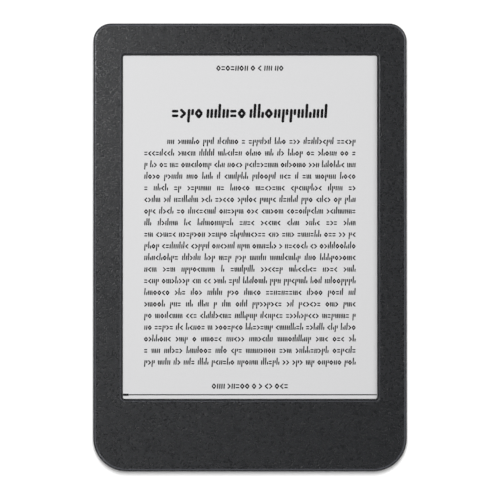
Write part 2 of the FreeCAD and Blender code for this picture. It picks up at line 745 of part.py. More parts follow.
# ---------------------------------------------------------------- mainboard
def mainboard():
    z = (Z_BOARD, Z_BOARD_TOP)
    board = rounded_block((-BOARD_RIGHT, BOARD_RIGHT), (BOARD_BOTTOM, BOARD_TOP), z, BOARD_CORNER)
    notch = USB_WIDTH / 2 + FREE
    board = board.cut(block((-notch, notch), (BOARD_BOTTOM - OVERCUT, USB_BACK + FREE), z))
    for tail in (DISPLAY_TAIL_RANGE, TOUCH_TAIL, LIGHT_TAIL):
        board = board.cut(tail_slot(tail, z))
    for x, y in low_board_screw_places() + high_board_screw_places():
        board = board.cut(rod(x, y, z[0], z[1], SCREW_DIAMETER + SLIDING_FIT))
    return board


def flex_connector(x):
    """A flat-cable connector under the board with its mouth towards the slot."""
    along = (ZIF_LOW, ZIF_LOW + ZIF_DEPTH)
    body = block((x[0] - ZIF_END, x[1] + ZIF_END), along, (Z_BOARD - ZIF_HEIGHT, Z_BOARD))
    half_gap = FLEX / 2 + ZIF_PLAY
    mouth = block(
        (x[0] - FIT, x[1] + FIT),
        (ZIF_LOW - OVERCUT, ZIF_LOW + ZIF_REACH + FIT),
        (Z_ZIF_MOUTH - half_gap, Z_ZIF_MOUTH + half_gap),
    )
    return body.cut(mouth)


def chip(centre, size, height=CHIP_HEIGHT):
    """A package soldered under the board, with a thin step round its foot."""
    body = block_at(centre, size, (Z_BOARD - height, Z_BOARD - CHIP_FOOT))
    body = body.makeChamfer(CHIP_CHAMFER, edges_at_level(body, Z_BOARD - height))
    foot_size = (size[0] - 2 * CHIP_FOOT_INSET, size[1] - 2 * CHIP_FOOT_INSET)
    return body.fuse(block_at(centre, foot_size, (Z_BOARD - CHIP_FOOT, Z_BOARD)))


def shield_centre():
    x = BOARD_RIGHT - SHIELD_FROM_SIDE - SHIELD_SIZE[0] / 2
    return x, BOARD_TOP - SHIELD_FROM_TOP - SHIELD_SIZE[1] / 2


def shield_can():
    """A stamped can, open towards the board, with two rows of vent holes."""
    x, y = shield_centre()
    low = Z_BOARD - SHIELD_SIZE[2]
    can = block_at((x, y), SHIELD_SIZE, (low, Z_BOARD))
    inner = (SHIELD_SIZE[0] - 2 * SHIELD_WALL, SHIELD_SIZE[1] - 2 * SHIELD_WALL)
    can = can.cut(block_at((x, y), inner, (low + SHIELD_WALL, Z_BOARD)))
    half = VENT_PITCH * (VENT_COLUMNS - 1) / 2
    for vent_x in evenly(x - half, x + half, VENT_COLUMNS):
        for vent_y in (y - VENT_FROM_MIDDLE, y + VENT_FROM_MIDDLE):
            can = can.cut(rod(vent_x, vent_y, low - FIT, low + SHIELD_WALL + FIT, VENT_DIAMETER))
    return can


def processor():
    x, y = shield_centre()
    left = x - SHIELD_SIZE[0] / 2 + SHIELD_WALL + SHIELD_CHIP_GAP
    return chip((left + PROCESSOR_SIZE[0] / 2, y), PROCESSOR_SIZE)


def memory_chip():
    x, y = shield_centre()
    right = x + SHIELD_SIZE[0] / 2 - SHIELD_WALL - SHIELD_CHIP_GAP
    return chip((right - MEMORY_SIZE[0] / 2, y), MEMORY_SIZE)


def storage_chip():
    x, y = shield_centre()
    right = x - SHIELD_SIZE[0] / 2 - STORAGE_GAP
    return chip((right - STORAGE_SIZE[0] / 2, y), STORAGE_SIZE)


def power_chip():
    offset_x, offset_y = POWER_CHIP_FROM_BUTTON
    return chip((BUTTON_X + offset_x, BUTTON_Y + offset_y), POWER_CHIP_SIZE, POWER_CHIP_HEIGHT)


def touch_controller():
    x = sum(TOUCH_TAIL) / 2 + TOUCH_CHIP_FROM_TAIL
    y = ZIF_LOW + ZIF_DEPTH + TOUCH_CHIP_GAP + TOUCH_CHIP_SIZE[1] / 2
    return chip((x, y), TOUCH_CHIP_SIZE, TOUCH_CHIP_HEIGHT)


def wifi_module():
    y = BUTTON_Y + collar_diameter() / 2 + WIFI_GAP + WIFI_SIZE / 2
    centre = (BUTTON_X + WIFI_FROM_BUTTON, y)
    can_size = WIFI_SIZE - 2 * WIFI_CAN_INSET
    base = block_at(centre, (WIFI_SIZE, WIFI_SIZE), (Z_BOARD - WIFI_BASE, Z_BOARD))
    can = block_at(centre, (can_size, can_size), (Z_BOARD - WIFI_HEIGHT, Z_BOARD - WIFI_BASE))
    can = can.makeFillet(WIFI_ROUND, edges_at_level(can, Z_BOARD - WIFI_HEIGHT))
    return base.fuse(can)


def wifi_antenna():
    """A stamped strip on two legs at the board's lower left edge."""
    left = ANTENNA_FROM_SIDE - BOARD_RIGHT
    low = Z_BOARD - ANTENNA_HEIGHT
    y = (BOARD_BOTTOM + ANTENNA_FROM_EDGE, BOARD_BOTTOM + ANTENNA_FROM_EDGE + ANTENNA_WIDTH)
    pieces = [block((left, left + ANTENNA_LENGTH), y, (low, low + ANTENNA_THICKNESS))]
    for x in (left, left + ANTENNA_FEED):
        pieces.append(block((x, x + ANTENNA_LEG), y, (low, Z_BOARD)))
    return joined(pieces)


def passives():
    """Capacitors in rows beside the port and a row of power inductors, all under the board."""
    pieces = []
    left = USB_WIDTH / 2 + PASSIVE_FROM_USB
    z = (Z_BOARD - PASSIVE_HEIGHT, Z_BOARD)
    for row in range(PASSIVE_ROWS):
        for column in range(PASSIVE_COLUMNS):
            x = left + PASSIVE_PITCH * column
            y = BOARD_BOTTOM + PASSIVE_FROM_EDGE + PASSIVE_PITCH * row
            pieces.append(block_at((x, y), PASSIVE_SIZE, z))
    offset_x, offset_y = INDUCTOR_FROM_BUTTON
    low = Z_BOARD - INDUCTOR_HEIGHT
    for column in range(INDUCTOR_COUNT):
        centre = (BUTTON_X + offset_x + INDUCTOR_PITCH * column, BUTTON_Y + offset_y)
        coil = block_at(centre, (INDUCTOR_SIZE, INDUCTOR_SIZE), (low, Z_BOARD))
        pieces.append(coil.makeFillet(INDUCTOR_ROUND, edges_at_level(coil, low)))
    return Part.makeCompound(pieces)


def hall_sensor():
    """The magnetic sensor that notices a cover's magnet, near the board's right edge."""
    centre = (BOARD_RIGHT - HALL_FROM_SIDE, BOARD_TOP - HALL_FROM_TOP)
    return block_at(centre, HALL_SIZE, (Z_BOARD - CHIP_HEIGHT, Z_BOARD))


# ---------------------------------------------------------------- battery
def battery_cell():
    x = (CELL_LEFT, CELL_RIGHT)
    cell = rounded_block(x, (CELL_LOW, CELL_HIGH), (Z_CELL, Z_CELL_TOP), CELL_CORNER)
    edges = edges_at_level(cell, Z_CELL) + edges_at_level(cell, Z_CELL_TOP)
    return cell.makeFillet(CELL_ROUND, edges)


def battery_tape():
    y = (CELL_LOW + CELL_TAPE_INSET, CELL_HIGH - CELL_TAPE_INSET)
    left = CELL_LEFT + CELL_TAPE_INSET
    right = CELL_RIGHT - CELL_TAPE_INSET
    strips = ((left, left + CELL_TAPE_WIDTH), (right - CELL_TAPE_WIDTH, right))
    return Part.makeCompound([block(x, y, (Z_CELL_TOP, Z_MIDFRAME)) for x in strips])


def battery_board():
    half = PCM_SIZE[2] / 2
    x = (CELL_SHIFT - PCM_SIZE[0] / 2, CELL_SHIFT + PCM_SIZE[0] / 2)
    return block(x, (PCM_LOW, CELL_LOW), (Z_PCM - half, Z_PCM + half))


def battery_socket():
    half = PLUG_WIDTH / 2 + FIT
    wall_x = (LEAD_X - half - SOCKET_WALL, LEAD_X + half + SOCKET_WALL)
    y = (PLUG_LOW - FIT - SOCKET_BACK, BOARD_TOP - SOCKET_FROM_EDGE)
    body = block(wall_x, y, (Z_BOARD - SOCKET_HEIGHT, Z_BOARD))
    half_z = PLUG_HEIGHT / 2 + FIT / 2
    mouth_y = (PLUG_LOW - FIT, BOARD_TOP)
    return body.cut(block((LEAD_X - half, LEAD_X + half), mouth_y, (Z_PLUG - half_z, Z_PLUG + half_z)))


def battery_plug():
    x = (LEAD_X - PLUG_WIDTH / 2, LEAD_X + PLUG_WIDTH / 2)
    z = (Z_PLUG - PLUG_HEIGHT / 2, Z_PLUG + PLUG_HEIGHT / 2)
    body = block(x, (PLUG_LOW, PLUG_HIGH), z)
    return body.makeChamfer(PLUG_CHAMFER, edges_at_level(body, z[0]))


def lead(x):
    """One wire from the battery's board to the plug, with a gentle step between their levels."""
    start = Vector(x, PCM_LOW, Z_PCM)
    end = Vector(x, PLUG_HIGH, Z_PLUG)
    high = start - Vector(0, LEAD_STRAIGHT, 0)
    low = end + Vector(0, LEAD_STRAIGHT, 0)
    slope = (low - high).normalize() * LEAD_TRIM
    straight = Vector(0, LEAD_TRIM, 0)

    def bend(before, corner, after):
        middle = (before + after) * 0.25 + corner * 0.5
        return Part.Arc(before, middle, after).toShape()

    path = Part.Wire(
        [
            Part.makeLine(start, high + straight),
            bend(high + straight, high, high + slope),
            Part.makeLine(high + slope, low - slope),
            bend(low - slope, low, low - straight),
            Part.makeLine(low - straight, end),
        ]
    )
    section = Part.Wire([Part.makeCircle(LEAD_DIAMETER / 2, start, Vector(0, 1, 0))])
    return path.makePipeShell([section], True, True)


def battery_leads():
    half = LEAD_PITCH * (LEAD_COUNT - 1) / 2
    return Part.makeCompound([lead(x) for x in evenly(LEAD_X - half, LEAD_X + half, LEAD_COUNT)])


# ---------------------------------------------------------------- USB-C receptacle
def usb_inner_size():
    return USB_WIDTH - 2 * USB_WALL, USB_HEIGHT - 2 * USB_WALL


def usb_shell():
    """The receptacle's steel shell, with a solder tab on each side."""
    width, height = usb_inner_size()
    shell = stadium(USB_WIDTH, USB_HEIGHT, USB_MOUTH, USB_BACK, Z_USB)
    tab_reach, tab_length, tab_thickness = USB_TAB
    tab_y = (USB_BACK - USB_TAB_FROM_BACK - tab_length, USB_BACK - USB_TAB_FROM_BACK)
    half = USB_WIDTH / 2 + tab_reach
    shell = shell.fuse(block((-half, half), tab_y, (Z_BOARD - tab_thickness, Z_BOARD)))
    shell = shell.cut(stadium(width, height, USB_MOUTH - OVERCUT, USB_BACK + OVERCUT, Z_USB))
    return shell.removeSplitter()


def usb_tongue():
    width, height = usb_inner_size()
    along = (USB_BACK - USB_BASE_DEPTH, USB_BACK - CLOSE)
    base = stadium(width - 2 * CLOSE, height - 2 * CLOSE, along[0], along[1], Z_USB)
    half = USB_TONGUE[0] / 2
    z = (Z_USB - USB_TONGUE[1] / 2, Z_USB + USB_TONGUE[1] / 2)
    tongue_y = (USB_MOUTH + USB_TONGUE_SETBACK, USB_BACK - USB_TONGUE_ROOT)
    return joined([base, block((-half, half), tongue_y, z)])


def usb_contacts():
    """Two rows of flat contacts, on the front and the back of the tongue."""
    strips = []
    width, thickness = USB_CONTACT
    y = (USB_MOUTH + USB_TONGUE_SETBACK + USB_CONTACT_SETBACK, USB_BACK - USB_BASE_DEPTH)
    half = USB_CONTACT_PITCH * (USB_CONTACTS - 1) / 2
    top = Z_USB + USB_TONGUE[1] / 2
    low = Z_USB - USB_TONGUE[1] / 2
    for x in evenly(-half, half, USB_CONTACTS):
        for z in ((top, top + thickness), (low - thickness, low)):
            strips.append(block((x - width / 2, x + width / 2), y, z))
    return Part.makeCompound(strips)


def usb_seal_outer(grow, y0, y1):
    width = USB_WIDTH + 2 * (USB_SEAL_WALL + grow)
    height = USB_HEIGHT + 2 * (USB_SEAL_WALL + grow)
    return stadium(width, height, y0, y1, Z_USB)


def usb_seal():
    y = (BOTTOM + WALL + FIT, BOTTOM + MIDFRAME_INSET - FIT)
    ring = usb_seal_outer(0, y[0], y[1])
    return ring.cut(stadium(USB_WIDTH + 2 * CLOSE, USB_HEIGHT + 2 * CLOSE, y[0], y[1], Z_USB))


# ---------------------------------------------------------------- power button and its switch
def collar_diameter():
    return BUTTON_DIAMETER + 2 * BUTTON_FLANGE + 2 * SLIDING_FIT + 2 * COLLAR_WALL


def button_countersink():
    radius = BUTTON_DIAMETER / 2 + SLIDING_FIT
    return Part.makeCone(radius + COUNTERSINK, radius, COUNTERSINK, Vector(BUTTON_X, BUTTON_Y, 0))


def power_button():
    """A dished cap, a flange that keeps it inside the cover, and a stem up to the membrane."""
    z_flange = FLOOR + FIT
    cap = rod(0, 0, BUTTON_RECESS, z_flange, BUTTON_DIAMETER)
    cap = cap.makeFillet(BUTTON_ROUND, edges_at_level(cap, BUTTON_RECESS))
    cap = cap.cut(Part.makeSphere(DISH_RADIUS, Vector(0, 0, BUTTON_RECESS + DISH_DEPTH - DISH_RADIUS)))
    flange = rod(0, 0, z_flange, z_flange + BUTTON_FLANGE_HEIGHT, BUTTON_DIAMETER + 2 * BUTTON_FLANGE)
    stem = rod(0, 0, z_flange, Z_MEMBRANE - CLOSE, BUTTON_STEM)
    button = joined([cap, flange, stem])
    button.translate(Vector(BUTTON_X, BUTTON_Y, 0))
    return button


def button_membrane():
    """A thin elastic disc that keeps water out and passes the button's push to the switch."""
    return rod(BUTTON_X, BUTTON_Y, Z_MEMBRANE, Z_MEMBRANE + MEMBRANE, collar_diameter())


def chamber_diameter():
    return SWITCH_SIZE - 2 * SWITCH_WALL


def switch_body():
    low = Z_BOARD - SWITCH_HEIGHT
    body = block_at((BUTTON_X, BUTTON_Y), (SWITCH_SIZE, SWITCH_SIZE), (low, Z_BOARD))
    chamber = rod(BUTTON_X, BUTTON_Y, Z_CHAMBER, Z_BOARD, chamber_diameter())
    hole = rod(BUTTON_X, BUTTON_Y, low - FIT, Z_CHAMBER, PLUNGER_DIAMETER + FIT)
    return body.cut(chamber).cut(hole)


def switch_plunger():
    """A stem through the switch's lid, with a head that keeps it in and carries the dome."""
    stem = rod(BUTTON_X, BUTTON_Y, Z_PLUNGER, Z_PLUNGER_HEAD + FIT, PLUNGER_DIAMETER)
    diameter = chamber_diameter() - 2 * FREE
    head = rod(BUTTON_X, BUTTON_Y, Z_PLUNGER_HEAD, Z_PLUNGER_HEAD + PLUNGER_HEAD, diameter)
    return joined([stem, head])


def switch_dome():
    """A sprung metal dome, its rim towards the board and its crown on the plunger."""
    rim = chamber_diameter() / 2 - FIT
    z_rim = Z_BOARD - DOME_SEAT
    z_crown = Z_PLUNGER_HEAD + PLUNGER_HEAD + CLOSE + DOME_THICKNESS
    shares = [i / DOME_STEPS for i in range(DOME_STEPS + 1)]
    upper = [(rim * share, z_crown + (z_rim - z_crown) * share**2) for share in shares]
    under = [(radius, z - DOME_THICKNESS) for radius, z in reversed(upper)]
    dome = revolved(upper + under)
    dome.translate(Vector(BUTTON_X, BUTTON_Y, 0))
    return dome


def status_led():
    z = (Z_BOARD - STATUS_LED_HEIGHT, Z_BOARD)
    return block_at((LED_X, BUTTON_Y), STATUS_LED_SIZE, z)


def light_pipe():
    """A clear rod from the lamp on the board to a hole in the back, with a flange on its seat."""
    seat = FLOOR + PIPE_SEAT_RISE
    high = Z_BOARD - STATUS_LED_HEIGHT - FIT
    pipe = rod(LED_X, BUTTON_Y, LIGHT_PIPE_RECESS, high, LIGHT_PIPE_DIAMETER)
    diameter = LIGHT_PIPE_DIAMETER + 2 * LIGHT_PIPE_FLANGE
    flange = rod(LED_X, BUTTON_Y, seat, seat + LIGHT_PIPE_FLANGE_HEIGHT, diameter)
    return joined([pipe, flange])


# ---------------------------------------------------------------- screws
def screw(place, z_seat, z_tip):
    """A pan-head screw with a cross recess, driven upwards from the seat of its head."""
    x, y = place
    z_head = z_seat - SCREW_HEAD_HEIGHT
    head = rod(x, y, z_head, z_seat, SCREW_HEAD)
    head = head.makeFillet(SCREW_HEAD_ROUND, edges_at_level(head, z_head))
    recess = (z_head - FIT, z_head + CROSS_DEPTH)
    head = head.cut(block_at(place, (CROSS_LENGTH, CROSS_WIDTH), recess))
    head = head.cut(block_at(place, (CROSS_WIDTH, CROSS_LENGTH), recess))
    return joined([head, rod(x, y, z_seat, z_tip, SCREW_DIAMETER)])


def midframe_screws():
    tip = Z_LIP - SCREW_TIP_GAP
    return Part.makeCompound([screw(place, Z_MIDFRAME, tip) for place in side_screw_places()])


def board_screws():
    screws = [screw(place, Z_BOARD, Z_LIP - SCREW_TIP_GAP) for place in low_board_screw_places()]
    screws += [screw(place, Z_BOARD, Z_MIDFRAME_TOP - FIT) for place in high_board_screw_places()]
    return Part.makeCompound(screws)


# ---------------------------------------------------------------- the parts, by node name
NODES = {
    "front_frame": front_frame,
    "rear_cover": rear_cover,
    "perimeter_seal": perimeter_seal,
    "midframe": midframe,
    "midframe_screws": midframe_screws,
    "screen_gasket": screen_gasket,
    "touch_film": touch_film,
    "light_guide": light_guide,
    "ink_laminate": ink_laminate,
    "display_backplane": display_backplane,
    "display_drivers": display_drivers,
    "panel_tape": panel_tape,
    "frontlight_leds": frontlight_leds,
    "frontlight_flex": frontlight_flex,
    "display_flex": display_flex,
    "touch_flex": touch_flex,
    "mainboard": mainboard,
    "board_screws": board_screws,
    "processor": processor,
    "memory_chip": memory_chip,
    "storage_chip": storage_chip,
    "power_chip": power_chip,
    "touch_controller": touch_controller,
    "shield_can": shield_can,
    "wifi_module": wifi_module,
    "wifi_antenna": wifi_antenna,
    "passives": passives,
    "hall_sensor": hall_sensor,
    "display_connector": lambda: flex_connector(DISPLAY_TAIL_RANGE),
    "touch_connector": lambda: flex_connector(TOUCH_TAIL),
    "frontlight_connector": lambda: flex_connector(LIGHT_TAIL),
    "battery_cell": battery_cell,
    "battery_tape": battery_tape,
    "battery_board": battery_board,
    "battery_leads": battery_leads,
    "battery_plug": battery_plug,
    "battery_socket": battery_socket,
    "usb_shell": usb_shell,
    "usb_tongue": usb_tongue,
    "usb_contacts": usb_contacts,
    "usb_seal": usb_seal,
    "power_button": power_button,
    "button_membrane": button_membrane,
    "switch_body": switch_body,
    "switch_plunger": switch_plunger,
    "switch_dome": switch_dome,
    "status_led": status_led,
    "light_pipe": light_pipe,
}


def main():
    os.makedirs("parts", exist_ok=True)
    for name, make in NODES.items():
        make().exportStep("parts/" + name + ".step")


main()
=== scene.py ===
"""Finishes the e-reader: its moulded case, paper-like screen, page, back, port and inner parts."""

import json
import math
import random

import bpy
from mathutils import Matrix, Vector


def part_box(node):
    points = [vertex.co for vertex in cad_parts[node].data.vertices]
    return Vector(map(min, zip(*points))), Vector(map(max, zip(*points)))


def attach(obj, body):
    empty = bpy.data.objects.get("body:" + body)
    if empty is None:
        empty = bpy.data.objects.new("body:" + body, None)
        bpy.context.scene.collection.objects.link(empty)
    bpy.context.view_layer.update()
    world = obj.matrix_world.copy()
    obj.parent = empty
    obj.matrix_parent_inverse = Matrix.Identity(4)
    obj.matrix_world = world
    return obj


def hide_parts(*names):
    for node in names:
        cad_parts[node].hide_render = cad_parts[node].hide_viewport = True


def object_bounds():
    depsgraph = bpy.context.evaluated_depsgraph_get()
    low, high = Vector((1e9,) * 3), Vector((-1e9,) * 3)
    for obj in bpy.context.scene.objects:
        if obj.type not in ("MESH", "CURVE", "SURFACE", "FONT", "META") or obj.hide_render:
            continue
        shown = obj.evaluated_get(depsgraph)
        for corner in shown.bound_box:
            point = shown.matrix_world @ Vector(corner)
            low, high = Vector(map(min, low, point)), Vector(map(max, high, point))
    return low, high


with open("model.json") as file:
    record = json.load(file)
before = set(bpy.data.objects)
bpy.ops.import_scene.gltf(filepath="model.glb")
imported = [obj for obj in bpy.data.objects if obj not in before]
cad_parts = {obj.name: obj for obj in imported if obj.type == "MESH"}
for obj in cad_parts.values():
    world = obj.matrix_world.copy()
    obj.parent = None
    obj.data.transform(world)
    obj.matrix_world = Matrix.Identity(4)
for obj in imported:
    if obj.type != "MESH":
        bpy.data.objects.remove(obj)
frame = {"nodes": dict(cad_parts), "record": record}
CAD_BOX = [list(corner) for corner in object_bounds()]

bl_info = {
    "name": "E-reader finish",
    "version": (1, 0, 0),
    "blender": (4, 5, 0),
    "location": "3D View > Sidebar > Reader",
    "description": "Models and finishes the pieces of a six-inch e-reader",
    "category": "Add Mesh",
}

MM = 0.001
HOUSING = "housing"
CAP = "power_button"
FILM_LOW, FILM_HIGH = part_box("touch_film")
COVER_LOW, COVER_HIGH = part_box("rear_cover")
BUTTON_LOW, BUTTON_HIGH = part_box("power_button")
PIPE_LOW, PIPE_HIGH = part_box("light_pipe")

FILM_CORNER, FILM_EDGE = 0.8 * MM, 0.04 * MM
# The dots keep clear of the back's edges, of its rounded corners, of the button and of the light.
EDGE_MARGIN, CORNER_RADIUS, BUTTON_MARGIN, LIGHT_MARGIN = 6 * MM, 8 * MM, 8 * MM, 4 * MM
DOT_TIP = 0.6  # width of a dot's lower end, as a share of its upper one's


# ---------------------------------------------------------------- sizes and colours to change
def linear(hex_colour):
    """An sRGB hex colour as linear red, green and blue."""
    channels = [int(hex_colour[place : place + 2], 16) / 255 for place in (0, 2, 4)]
    return tuple(c / 12.92 if c <= 0.04045 else ((c + 0.055) / 1.055) ** 2.4 for c in channels)


def length(name, description, millimetres):
    return bpy.props.FloatProperty(
        name=name, description=description, default=millimetres * MM, unit="LENGTH", precision=5
    )


def colour(name, description, hex_colour):
    return bpy.props.FloatVectorProperty(
        name=name, description=description, default=linear(hex_colour), subtype="COLOR"
    )


class ReaderSizes(bpy.types.PropertyGroup):
    """Sizes of what the finish adds to the reader's own parts"""

    view_width: length("Display width", "Width of the display's active area", 90.6)
    top_border: length("Top border", "From the film's top edge to the display's active area", 3.2)
    column: length("Column", "Width of the page's text column", 75.7)
    indent: length("Indent", "Indent of a paragraph's first line", 8.2)
    pitch: length("Line pitch", "From one line of the page to the next", 4.147)
    header_down: length("Header", "From the active area's top to the header's middle", 4.2)
    header_width: length("Header width", "Width of the header's marks", 24.2)
    title_down: length("Title", "From the active area's top to the title's foot", 22.0)
    title_width: length("Title width", "Width of the title's marks", 56.0)
    body_down: length("Body", "From the active area's top to the first line's foot", 31.35)
    footer_down: length("Footer", "From the active area's top to the footer's middle", 117.8)
    footer_width: length("Footer width", "Width of the footer's marks", 27.4)
    progress_down: length("Progress line", "From the active area's top to the progress line", 120.85)
    progress_height: length("Progress line's height", "Height of the progress line", 0.38)
    progress_done: length("Progress", "Length of the progress line's dark start", 2.0)
    done_height: length("Progress height", "Height of the progress line's dark start", 0.8)
    dot_pitch: length("Dot pitch", "From dot to dot on the back", 2.0)
    dot_radius: length("Dot radius", "Radius of a dot on the back", 0.52)
    dot_height: length("Dot height", "Height of a dot on the back", 0.15)
    lines: bpy.props.IntProperty(name="Lines", description="Lines on the page", default=20, min=1, max=21)


class ReaderColours(bpy.types.PropertyGroup):
    """Colours of the reader's visible plastics, of the highlight painted on the frame's rounded edges, and
    of its display
    """

    front: colour("Front frame", "Plastic of the front frame", "0E1014")
    # A much paler colour than the frame's plastic: a painted highlight on the frame's rounded edges.
    front_edge_highlight: colour("Frame edges", "The same plastic on the frame's rounded edges", "4E4F55")
    back: colour("Rear cover", "Plastic of the rear cover", "17181A")
    button: colour("Power button", "Plastic of the power button", "303236")
    paper: colour("Display white", "White state of the display", "D3D3D4")
    ink: colour("Display black", "Black state of the display", "0B0B0D")


# ---------------------------------------------------------------- tools for modelling
def middle(low, high):
    return (low + high) / 2


def take_only(piece):
    """Selects one object and nothing else, and makes it the active one."""
    bpy.ops.object.select_all(action="DESELECT")
    piece.hide_set(False)
    piece.select_set(True)
    bpy.context.view_layer.objects.active = piece


def in_place(piece):
    """Puts a piece's place, turn and size into its mesh."""
    take_only(piece)
    bpy.ops.object.transform_apply(location=True, rotation=True, scale=True)


def clear_choice(mesh):
    for group in (mesh.vertices, mesh.edges, mesh.polygons):
        group.foreach_set("select", [False] * len(group))


def choose_edges(piece, wanted):
    """Selects the edges whose two ends pass a test, and opens edit mode."""
    mesh = piece.data
    clear_choice(mesh)
    for edge in mesh.edges:
        edge.select = wanted(*(mesh.vertices[end].co for end in edge.vertices))
    bpy.ops.object.mode_set(mode="EDIT")
    bpy.ops.mesh.select_mode(type="EDGE")


def choose_faces(piece, wanted):
    """Selects the faces whose middle and normal pass a test, and opens edit mode."""
    clear_choice(piece.data)
    for face in piece.data.polygons:
        face.select = wanted(face.center, face.normal)
    bpy.ops.object.mode_set(mode="EDIT")
    bpy.ops.mesh.select_mode(type="FACE")


def close_edit():
    bpy.ops.object.mode_set(mode="OBJECT")


def modify(piece, kind, **settings):
    """Adds one modifier with its settings and applies it."""
    take_only(piece)
    made = piece.modifiers.new(kind.lower(), kind)
    for name, value in settings.items():
        setattr(made, name, value)
    bpy.ops.object.modifier_apply(modifier=made.name)


def smooth(piece, degrees=35):
    """Rounds the shading over gentle edges, and keeps flat faces flat beside their rounds."""
    take_only(piece)
    bpy.ops.object.shade_smooth_by_angle(angle=math.radians(degrees))
    modify(piece, "WEIGHTED_NORMAL", keep_sharp=True, weight=100)


def add_block(low, high):
    """A block between two corners, with its place in its mesh."""
    low, high = Vector(low), Vector(high)
    bpy.ops.object.select_all(action="DESELECT")
    bpy.ops.mesh.primitive_cube_add(size=1, location=middle(low, high), scale=high - low)
    piece = bpy.context.active_object
    in_place(piece)
    return piece


def is_upright(one, other):
    return (one - other).xy.length < 1e-7


def add_bar(low, high, radius, segments=1):
    """A block whose upright edges are rounded."""
    bar = add_block(low, high)
    choose_edges(bar, is_upright)
    bpy.ops.mesh.bevel(offset=radius, segments=segments, affect="EDGES")
    close_edit()
    return bar


def smooth_copy(node):
    """A copy of one of the reader's parts with its triangles joined into whole faces."""
    piece = frame["nodes"][node].copy()
    piece.data = piece.data.copy()
    bpy.context.collection.objects.link(piece)
    take_only(piece)
    bpy.ops.object.mode_set(mode="EDIT")
    bpy.ops.mesh.select_all(action="SELECT")
    bpy.ops.mesh.remove_doubles(threshold=0.001 * MM)
    bpy.ops.mesh.customdata_custom_splitnormals_clear()
    bpy.ops.mesh.dissolve_limited(angle_limit=math.radians(0.05))
    close_edit()
    return piece


def copy_at(template, place):
    """A copy of a finished shape, with its own mesh moved to a place."""
    made = template.copy()
    made.data = template.data.copy()
    made.data.transform(Matrix.Translation(place))
    bpy.context.collection.objects.link(made)
    return made


def join(pieces):
    """Joins objects into the first of them."""
    bpy.ops.object.select_all(action="DESELECT")
    for piece in pieces:
        piece.select_set(True)
    bpy.context.view_layer.objects.active = pieces[0]
    if len(pieces) > 1:
        bpy.ops.object.join()
    return pieces[0]


def finished(piece, name, body, slot):
    """Names a piece, gives it the material of its finish and lets it ride on a body."""
    piece.name = name
    piece.data.name = name
    piece.data.materials.clear()
    piece.data.materials.append(finish_of(slot))
    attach(piece, body)
    return piece


# ---------------------------------------------------------------- tools for materials
# A colour mix shares its sockets' names with the other kinds of mix, so they are told apart by place.
MIX_SHARE, MIX_FIRST, MIX_SECOND, MIXED = 0, 6, 7, 2


def rgba(colour):
    return (*colour, 1.0)


def shade(colour, factor):
    """A colour made lighter or darker by a factor."""
    return tuple(min(1.0, channel * factor) for channel in colour)


def per(millimetres):
    """The scale at which a texture's pattern is so many millimetres across."""
    return 1 / (millimetres * MM)


def per_wave(millimetres):
    """The scale at which a wave texture repeats after so many millimetres: it turns 20 radians in a unit."""
    return per(millimetres) * math.tau / 20


def add_node(tree, kind, inputs=None, **settings):
    """Adds a node with its settings; an input is given a value or linked to another node's output."""
    made = tree.nodes.new(kind)
    for name, value in settings.items():
        setattr(made, name, value)
    for socket, value in (inputs or {}).items():
        if isinstance(value, bpy.types.NodeSocket):
            tree.links.new(value, made.inputs[socket])
        else:
            made.inputs[socket].default_value = value
    return made


def start_material(name):
    """An empty material, its node tree and the object coordinates that its patterns follow."""
    material = bpy.data.materials.new(name)
    material.use_nodes = True
    tree = material.node_tree
    tree.nodes.clear()
    place = add_node(tree, "ShaderNodeTexCoord").outputs["Object"]
    return material, tree, place


def close_material(tree, **sockets):
    """Adds the shader; each socket's name is written with underscores for spaces."""
    inputs = {name.replace("_", " "): value for name, value in sockets.items()}
    shader = add_node(tree, "ShaderNodeBsdfPrincipled", inputs)
    add_node(tree, "ShaderNodeOutputMaterial", {"Surface": shader.outputs[0]})


def two_tone(tree, pattern, low, high, dark, light):
    """A colour that goes from dark to light while a pattern goes from low to high."""
    limits = {"Value": pattern, "From Min": low, "From Max": high}
    share = add_node(tree, "ShaderNodeMapRange", limits).outputs["Result"]
    tones = {MIX_SHARE: share, MIX_FIRST: rgba(dark), MIX_SECOND: rgba(light)}
    return add_node(tree, "ShaderNodeMix", tones, data_type="RGBA").outputs[MIXED]


def roughness_and_relief(tree, pattern, rough, swing, depth_mm, strength, height=None):
    """How far a random pattern swings a surface's roughness, and the relief of it or of another pattern."""
    limits = {
        "Value": pattern,
        "From Min": 0.3,
        "From Max": 0.7,
        "To Min": rough - swing,
        "To Max": rough + swing,
    }
    relief = {
        "Height": pattern if height is None else height,
        "Strength": strength,
        "Distance": depth_mm * MM,
    }
    return {
        "Roughness": add_node(tree, "ShaderNodeMapRange", limits).outputs["Result"],
        "Normal": add_node(tree, "ShaderNodeBump", relief).outputs["Normal"],
    }


